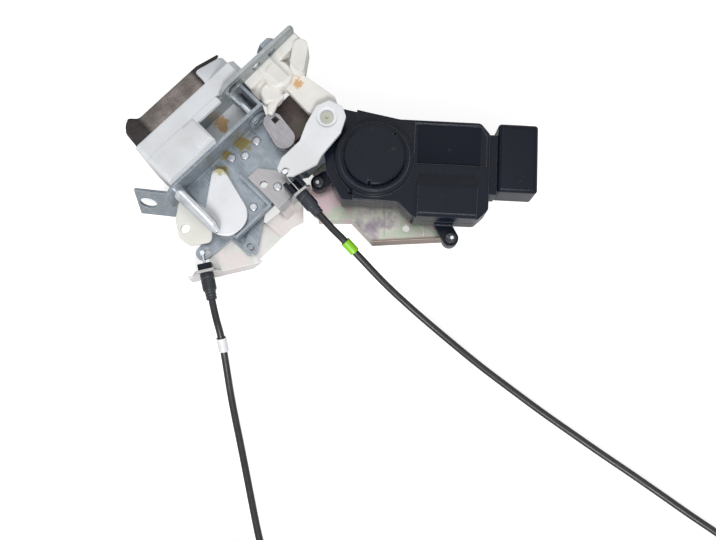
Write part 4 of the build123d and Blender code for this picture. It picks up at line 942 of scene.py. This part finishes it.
@dataclass
class Studio:
    """Pale floor, soft lamps, plain surroundings and the camera at the photograph's angle."""

    eye: Triple = (-0.06915, -0.19767, 0.5181)
    target: Triple = (-0.0053, -0.13382, 0.006)
    up: Triple = (1.0, 1.0, 0.0)
    lens: float = 42.17
    sensor: float = 36.0
    near: float = 0.01
    floor_height: float = -0.0241
    floor_width: float = 6.0
    floor_tone: float = 0.9
    floor_glow: float = 0.6
    surroundings: float = 0.4
    aim: Triple = (0.0, -0.1, 0.0)
    lamps: tuple[Lamp, ...] = (
        Lamp("key", (-0.55, -0.70, 0.75), 0.42, 8.5), Lamp("overhead", (0.1, 0.0, 1.1), 0.9, 1.6),
    )

    def camera(self) -> None:
        """Places the camera."""
        lens = bpy.data.cameras.new("camera")
        lens.lens = self.lens
        lens.sensor_width = self.sensor
        lens.sensor_fit = "HORIZONTAL"
        lens.clip_start = self.near
        seat = held("camera", lens)
        eye = Vector(self.eye)
        back = (eye - Vector(self.target)).normalized()
        right = Vector(self.up).cross(back).normalized()
        turn = Matrix((right, back.cross(right), back)).transposed().to_4x4()
        seat.matrix_world = Matrix.Translation(eye) @ turn
        bpy.context.scene.camera = seat

    def world(self) -> None:
        """Gives the surroundings: even light, and white where the camera or a mirror looks."""
        world = bpy.data.worlds.new("surroundings")
        bpy.context.scene.world = world
        world.use_nodes = True
        tree = world.node_tree
        tree.nodes.clear()
        path = tree.nodes.new("ShaderNodeLightPath")
        clear = path.outputs["Is Camera Ray"]
        for ray in ("Is Glossy Ray", "Is Transmission Ray"):
            either = tree.nodes.new("ShaderNodeMath")
            either.operation = "MAXIMUM"
            tree.links.new(clear, either.inputs[0])
            tree.links.new(path.outputs[ray], either.inputs[1])
            clear = either.outputs[0]
        even = tree.nodes.new("ShaderNodeBackground")
        even.inputs["Color"].default_value = (0.985, 0.99, 1.0, 1.0)
        even.inputs["Strength"].default_value = self.surroundings
        white = tree.nodes.new("ShaderNodeBackground")
        white.inputs["Color"].default_value = (1.0, 1.0, 1.0, 1.0)
        blend = tree.nodes.new("ShaderNodeMixShader")
        output = tree.nodes.new("ShaderNodeOutputWorld")
        tree.links.new(clear, blend.inputs["Fac"])
        tree.links.new(even.outputs[0], blend.inputs[1])
        tree.links.new(white.outputs[0], blend.inputs[2])
        tree.links.new(blend.outputs[0], output.inputs["Surface"])

    def floor(self) -> None:
        """Lays the pale floor, which keeps the object's shadow."""
        bpy.ops.object.select_all(action="DESELECT")
        bpy.ops.mesh.primitive_plane_add(size=self.floor_width, location=(0.0, -0.15, self.floor_height))
        plane = bpy.context.object
        plane.name = "floor"
        recipe = Recipe("pale_floor")
        recipe.dress([self.floor_tone] * 3, 0.9, 0.0, 0.1)
        path = recipe.add("ShaderNodeLightPath").outputs["Is Camera Ray"]
        recipe.shader.inputs["Emission Color"].default_value = (1.0, 1.0, 1.0, 1.0)
        recipe.feed(recipe.shader.inputs["Emission Strength"], recipe.math("MULTIPLY", path, self.floor_glow))
        plane.data.materials.append(recipe.material)

    def build(self) -> None:
        """Sets up the whole studio."""
        bpy.context.scene.view_settings.view_transform = "Standard"
        self.camera()
        self.world()
        self.floor()
        for lamp in self.lamps:
            lamp.hang(self.aim)
        log.info("studio ready")


@dataclass
class LatchCase:
    """Face plate, the two housings, the bumper and the foam seal."""

    seal_voxel: float = 0.0011
    seal_softness: float = 0.6
    seal_passes: int = 6
    seal_fill: float = 0.8
    panel_outline: tuple[Pair, ...] = (
        (-14.2, -1.0), (-22.4, -1.0), (-24.2, -14.9), (-23.4, -17.6), (-14.2, -16.6),
    )
    panel_low: float = 33.6
    panel_top: float = 34.7
    panel_round: float = 0.0006

    def seal(self) -> None:
        """Foam strip: the block's shape swollen a little and softened all over."""
        piece = copied("seal_pad", "foam_seal")
        modify(piece, "REMESH", mode="VOXEL", voxel_size=self.seal_voxel, use_smooth_shade=True)
        modify(piece, "SMOOTH", factor=self.seal_softness, iterations=self.seal_passes)
        smooth(piece, 80.0)
        standing_in(piece, Finish.FOAM, "seal_pad")

    def build(self) -> None:
        """Builds the pieces in order."""
        smoothed("base_plate", Finish.PLATE)
        smoothed("weld_nut", Finish.ZINC)
        smoothed("front_housing", Finish.WHITE)
        smoothed("rear_housing", Finish.WHITE)
        panel = plate("well_panel", self.panel_outline, self.panel_low, self.panel_top, self.panel_round)
        mounted(panel, Finish.WHITE, "rear_housing")
        painted("striker_bumper", Finish.RUBBER)
        self.seal()


@dataclass
class CatchWorks:
    """Claw, pawl, their shafts and springs."""

    def build(self) -> None:
        """Dresses the pieces in order."""
        for node in ("claw", "pawl"):
            smoothed(node, Finish.DARK)
        for node in ("claw_pin", "pawl_shaft"):
            smoothed(node, Finish.PIN)
        smoothed("pawl_arm", Finish.ZINC)
        for node in ("claw_spring", "pawl_spring"):
            painted(node, Finish.SPRING)


@dataclass
class LeverFloor:
    """Pressed bracket with its rivets, the guide pin and the cable bracket."""

    bead: Bead = Bead("cable_bracket_bead", (-25.0, -68.8, -24.5, -82.5), -4.0)

    def build(self) -> None:
        """Dresses the pieces in order."""
        smoothed("lever_bracket", Finish.ZINC)
        smoothed("cable_bracket", Finish.CHROMATE)
        self.bead.build(Finish.CHROMATE, "cable_bracket")
        for node in ("bracket_rivets", "pad_rivet", "carrier_rivet"):
            smoothed(node, Finish.RIVET)
        smoothed("guide_pin", Finish.GUIDE)


@dataclass
class LeverTrain:
    """Inside, lift, lock and outside levers with their pins."""

    hook: tuple[Pair, ...] = (
        (39.0, -22.2), (38.2, -25.1), (32.7, -25.2), (28.2, -27.1), (24.7, -28.0), (23.4, -25.2),
        (26.4, -21.8), (31.1, -20.1), (35.9, -19.9),
    )
    hook_low: float = 16.3
    hook_top: float = 20.6
    hook_round: float = 0.0011

    def build(self) -> None:
        """Dresses the pieces in order."""
        smoothed("lever_moulding", Finish.WARM)
        hook = plate("moulding_hook", self.hook, self.hook_low, self.hook_top, self.hook_round)
        mounted(hook, Finish.WARM, "lever_moulding")
        for node in ("inside_lever", "lock_lever"):
            smoothed(node, Finish.PEAR)
        smoothed("outside_lever", Finish.NATURAL)
        smoothed("lift_lever", Finish.DARK)
        smoothed("lock_arm", Finish.ZINC)
        smoothed("inside_lever_pin", Finish.WASHER)
        for node in ("lift_post", "lock_shaft", "outside_pin"):
            smoothed(node, Finish.PIN)


@dataclass
class Actuator:
    """Black motor case with its gear cap, connector, drive and bracket."""

    marks: tuple[tuple[float, float, float, str], ...] = (
        (62.4, -97.5, 22.0, "gear_cap"),
        (42.0, -114.6, 14.0, "actuator_case"),
        (88.4, -121.6, 12.8, "actuator_case"),
    )
    mark_profile: tuple[Pair, ...] = (
        (-0.0004, 0.0011), (0.0001, 0.0011), (0.00025, 0.0008), (0.0001, 0.0005),
    )
    screws: tuple[Pair, ...] = ((17.5, -74.3), (52.1, -160.3))
    screw_top: float = 0.4
    seat_profile: tuple[Pair, ...] = ((-0.0004, 0.0013), (0.0, 0.0013), (0.0001, 0.0012))
    case_round: float = 0.0008
    connector_round: float = 0.0024
    wheel_centre: Pair = (51.3, -91.7)
    turn: float = -48.0
    panel_centre: Pair = (46.5, 11.0)
    panel_size: Pair = (39.5, 24.5)
    panel_floor: float = 12.8
    panel_rise: float = 0.0005
    panel_rim: float = 0.0007
    panel_round: float = 0.00015
    beads: tuple[Bead, ...] = (
        Bead("carrier_bead_long", (37.6, -114.7, 23.9, -128.2), -10.0),
        Bead("carrier_bead_short", (48.6, -139.6, 42.6, -145.5), -10.0),
    )

    def panel(self) -> None:
        """Grained name panel, left bare: a plate with a stepped rim in the case's recess."""
        bpy.ops.object.select_all(action="DESELECT")
        bpy.ops.mesh.primitive_cube_add(size=1.0, location=(0, 0, 0))
        piece = bpy.context.object
        piece.name = "name_panel"
        with editing(piece):
            wide, deep = (size * MM for size in self.panel_size)
            bpy.ops.transform.resize(value=(wide, deep, 2 * self.panel_rise))
        with editing(piece, False):
            bpy.ops.mesh.select_mode(type="FACE")
        for face in piece.data.polygons:
            face.select = face.normal.z > 0.9
        only(piece)
        bpy.ops.object.mode_set(mode="EDIT")
        bpy.ops.mesh.inset(thickness=self.panel_rim)
        bpy.ops.transform.translate(value=(0, 0, -0.6 * self.panel_rise))
        bpy.ops.object.mode_set(mode="OBJECT")
        rounded(piece, self.panel_round, 2, 30.0)
        seat = Matrix.Translation(point(*self.wheel_centre, self.panel_floor))
        inner = Matrix.Translation(point(*self.panel_centre, 0.0))
        piece.data.transform(seat @ Matrix.Rotation(math.radians(self.turn), 4, "Z") @ inner)
        smooth(piece, 30.0)
        mounted(piece, Finish.GRAINED, "actuator_case")

    def build(self) -> None:
        """Dresses the pieces in order."""
        for node in ("actuator_base", "actuator_case", "gear_cap"):
            smoothed(node, Finish.BLACK, self.case_round)
        smoothed("connector_housing", Finish.BLACK, self.connector_round)
        self.panel()
        mark = turned("gate_mark", self.mark_profile, Vector(), UP, 20)
        for count, (x, y, z, node) in enumerate(self.marks):
            mounted(repeated(mark, f"gate_mark_{count}", point(x, y, z)), Finish.BLACK, node)
        seat = turned("driver_seat", self.seat_profile, Vector(), UP, 6)
        for count, (x, y) in enumerate(self.screws):
            placed = repeated(seat, f"driver_seat_{count}", point(x, y, self.screw_top))
            mounted(placed, Finish.PIN, "actuator_screws")
        for pattern in (mark, seat):
            bpy.data.objects.remove(pattern)
        painted("case_seal", Finish.RUBBER)
        smoothed("actuator_screws", Finish.SCREW)
        smoothed("actuator_bracket", Finish.OLIVE)
        for bead in self.beads:
            bead.build(Finish.OLIVE, "actuator_bracket")
        painted("motor_can", Finish.ZINC)
        painted("motor_worm", Finish.PIN)
        painted("worm_wheel", Finish.GEAR)
        smoothed("output_lever", Finish.ZINC)
        smoothed("lock_link", Finish.ZINC)
        painted("connector_blades", Finish.BLADE)


@dataclass
class PullCable:
    """A pull cable: wire, clip, ribbed ferrule, jacket with its band, coil and far fitting."""

    name: str
    exit: Triple
    lead: Triple
    route: tuple[Triple, ...]
    coil_centre: Pair
    start_angle: float
    sweep: float
    tail: Triple
    length: float
    band: Finish
    diameter: float = 4.5
    coil_radius: float = 25.0
    low: float = -21.75
    high: float = -17.1
    rise_start: float = 200.0
    rise_end: float = 315.0
    turn_step: float = 30.0
    run_out: float = 12.0
    ferrule_span: float = 0.0185
    ferrule_profile: tuple[Pair, ...] = (
        (0.0, 0.0028), (0.0004, 0.003), (0.0014, 0.003), (0.0015, 0.0041), (0.0019, 0.00435),
        (0.0048, 0.0044), (0.005, 0.004), (0.0056, 0.004), (0.0058, 0.0044), (0.0115, 0.0044),
        (0.0127, 0.0041), (0.0131, 0.0035), (0.0143, 0.0035), (0.0144, 0.0032), (0.015, 0.0032),
        (0.0151, 0.0035), (0.0163, 0.0034), (0.0164, 0.0031), (0.017, 0.0031), (0.0171, 0.0034),
        (0.0183, 0.0033), (0.0185, 0.003),
    )

    def around(self, angle: float, reach: float, height: float) -> Triple:
        """A place on a circle round the coil's centre, in millimetres and at an angle in radians."""
        x, y = self.coil_centre
        return (x + reach * math.cos(angle), y + reach * math.sin(angle), height)

    def line(self) -> list[Triple]:
        """Control points of the jacket's centre line.

        Returns:
            The points, in millimetres.
        """
        count = round(self.sweep / self.turn_step)
        step = self.sweep / count
        reach = self.coil_radius / math.cos(math.radians(step / 2))
        points = [self.exit, self.lead, *self.route]
        for turn in range(count):
            passed = (turn + 0.5) * step
            angle = math.radians(self.start_angle - passed)
            share = min(max((passed - self.rise_start) / (self.rise_end - self.rise_start), 0.0), 1.0)
            height = self.low + (self.high - self.low) * share
            points.append(self.around(angle, reach, height))
        angle = math.radians(self.start_angle - self.sweep)
        aim = Vector((math.sin(angle), -math.cos(angle), 0.0))
        leave = Vector(self.around(angle, self.coil_radius, self.high))
        points.append(tuple(leave + aim * self.run_out))
        points.append(self.tail)
        return points

    def jacket(self) -> bpy.types.Object:
        """The jacket as one smooth curve.

        Returns:
            The curve.
        """
        data = bpy.data.curves.new(f"{self.name}_jacket", "CURVE")
        data.dimensions = "3D"
        data.resolution_u = 10
        data.bevel_depth = self.diameter * MM / 2
        data.bevel_resolution = 6
        data.use_fill_caps = True
        spline = data.splines.new("NURBS")
        points = self.line()
        spline.points.add(len(points) - 1)
        for knot, place in zip(spline.points, points):
            knot.co = (*(value * MM for value in place), 1.0)
        spline.order_u = 3
        spline.use_endpoint_u = True
        piece = held(f"{self.name}_jacket", data)
        coat(piece, Finish.JACKET)
        return piece

    def ferrule(self) -> None:
        """Moulded ferrule with its grooves and the tapered, ringed sleeve over the jacket's start."""
        node = f"{self.name}_ferrule"
        along = (point(*self.lead) - point(*self.exit)).normalized()
        start = point(*self.exit) - along * self.ferrule_span
        piece = turned(node + "_ringed", self.ferrule_profile, start, along, 40)
        standing_in(piece, Finish.SLEEVE, node)

    def build(self) -> None:
        """Builds the pieces in order."""
        jacket = self.jacket()
        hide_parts(f"{self.name}_conduit", f"{self.name}_coil")
        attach(jacket, body_of(f"{self.name}_conduit"))
        smoothed(f"{self.name}_wire", Finish.PIN)
        smoothed(f"{self.name}_clip", Finish.BLACK)
        self.ferrule()
        band = smoothed(f"{self.name}_band", self.band)
        end = smoothed(f"{self.name}_end", Finish.BLACK)
        log.info("%s built", self.name)


def main() -> None:
    """Builds the studio and every sub-assembly."""
    logging.basicConfig(level=logging.INFO, format="%(name)s: %(message)s")
    Studio().build()
    LatchCase().build()
    CatchWorks().build()
    LeverFloor().build()
    LeverTrain().build()
    Actuator().build()
    PullCable(
        "lock_cable",
        (-82.16, -81.87, 0.0),
        (-87.99, -91.19, 0.0),
        (
            (-92.6, -99.6, -2.6), (-98.0, -107.0, -7.5), (-105.8, -117.3, -12.5), (-114.5, -128.7, -17.0),
            (-123.1, -141.2, -20.0), (-132.3, -155.7, -21.5), (-142.4, -171.6, -21.7),
            (-152.8, -187.9, -21.7), (-163.0, -204.0, -21.7), (-168.6, -214.3, -21.7),
        ),
        (-198.26, -216.52),
        -28.5,
        491.5,
        (-229.46, -203.88, -19.4),
        0.425,
        Finish.PALE,
    ).build()
    PullCable(
        "inside_cable",
        (1.79, -92.60, 12.0),
        (0.93, -103.57, 12.0),
        (
            (1.3, -114.1, 11.0), (1.2, -123.8, 7.5), (1.4, -135.9, 2.0), (1.8, -150.0, -5.0),
            (3.1, -165.2, -12.0), (4.8, -183.7, -17.5), (6.9, -205.3, -20.8), (9.2, -229.8, -21.6),
            (12.4, -253.2, -21.7), (15.6, -276.3, -21.7), (19.4, -298.6, -21.7), (23.2, -320.7, -21.7),
            (27.3, -342.3, -21.7), (31.1, -364.0, -21.7), (34.7, -385.6, -21.7), (38.8, -406.6, -21.7),
            (41.2, -420.8, -21.7),
        ),
        (19.24, -440.86),
        9.6,
        479.6,
        (-10.5, -456.64, -19.4),
        0.587,
        Finish.LIME,
    ).build()
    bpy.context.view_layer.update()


if __name__ == "__main__":
    main()
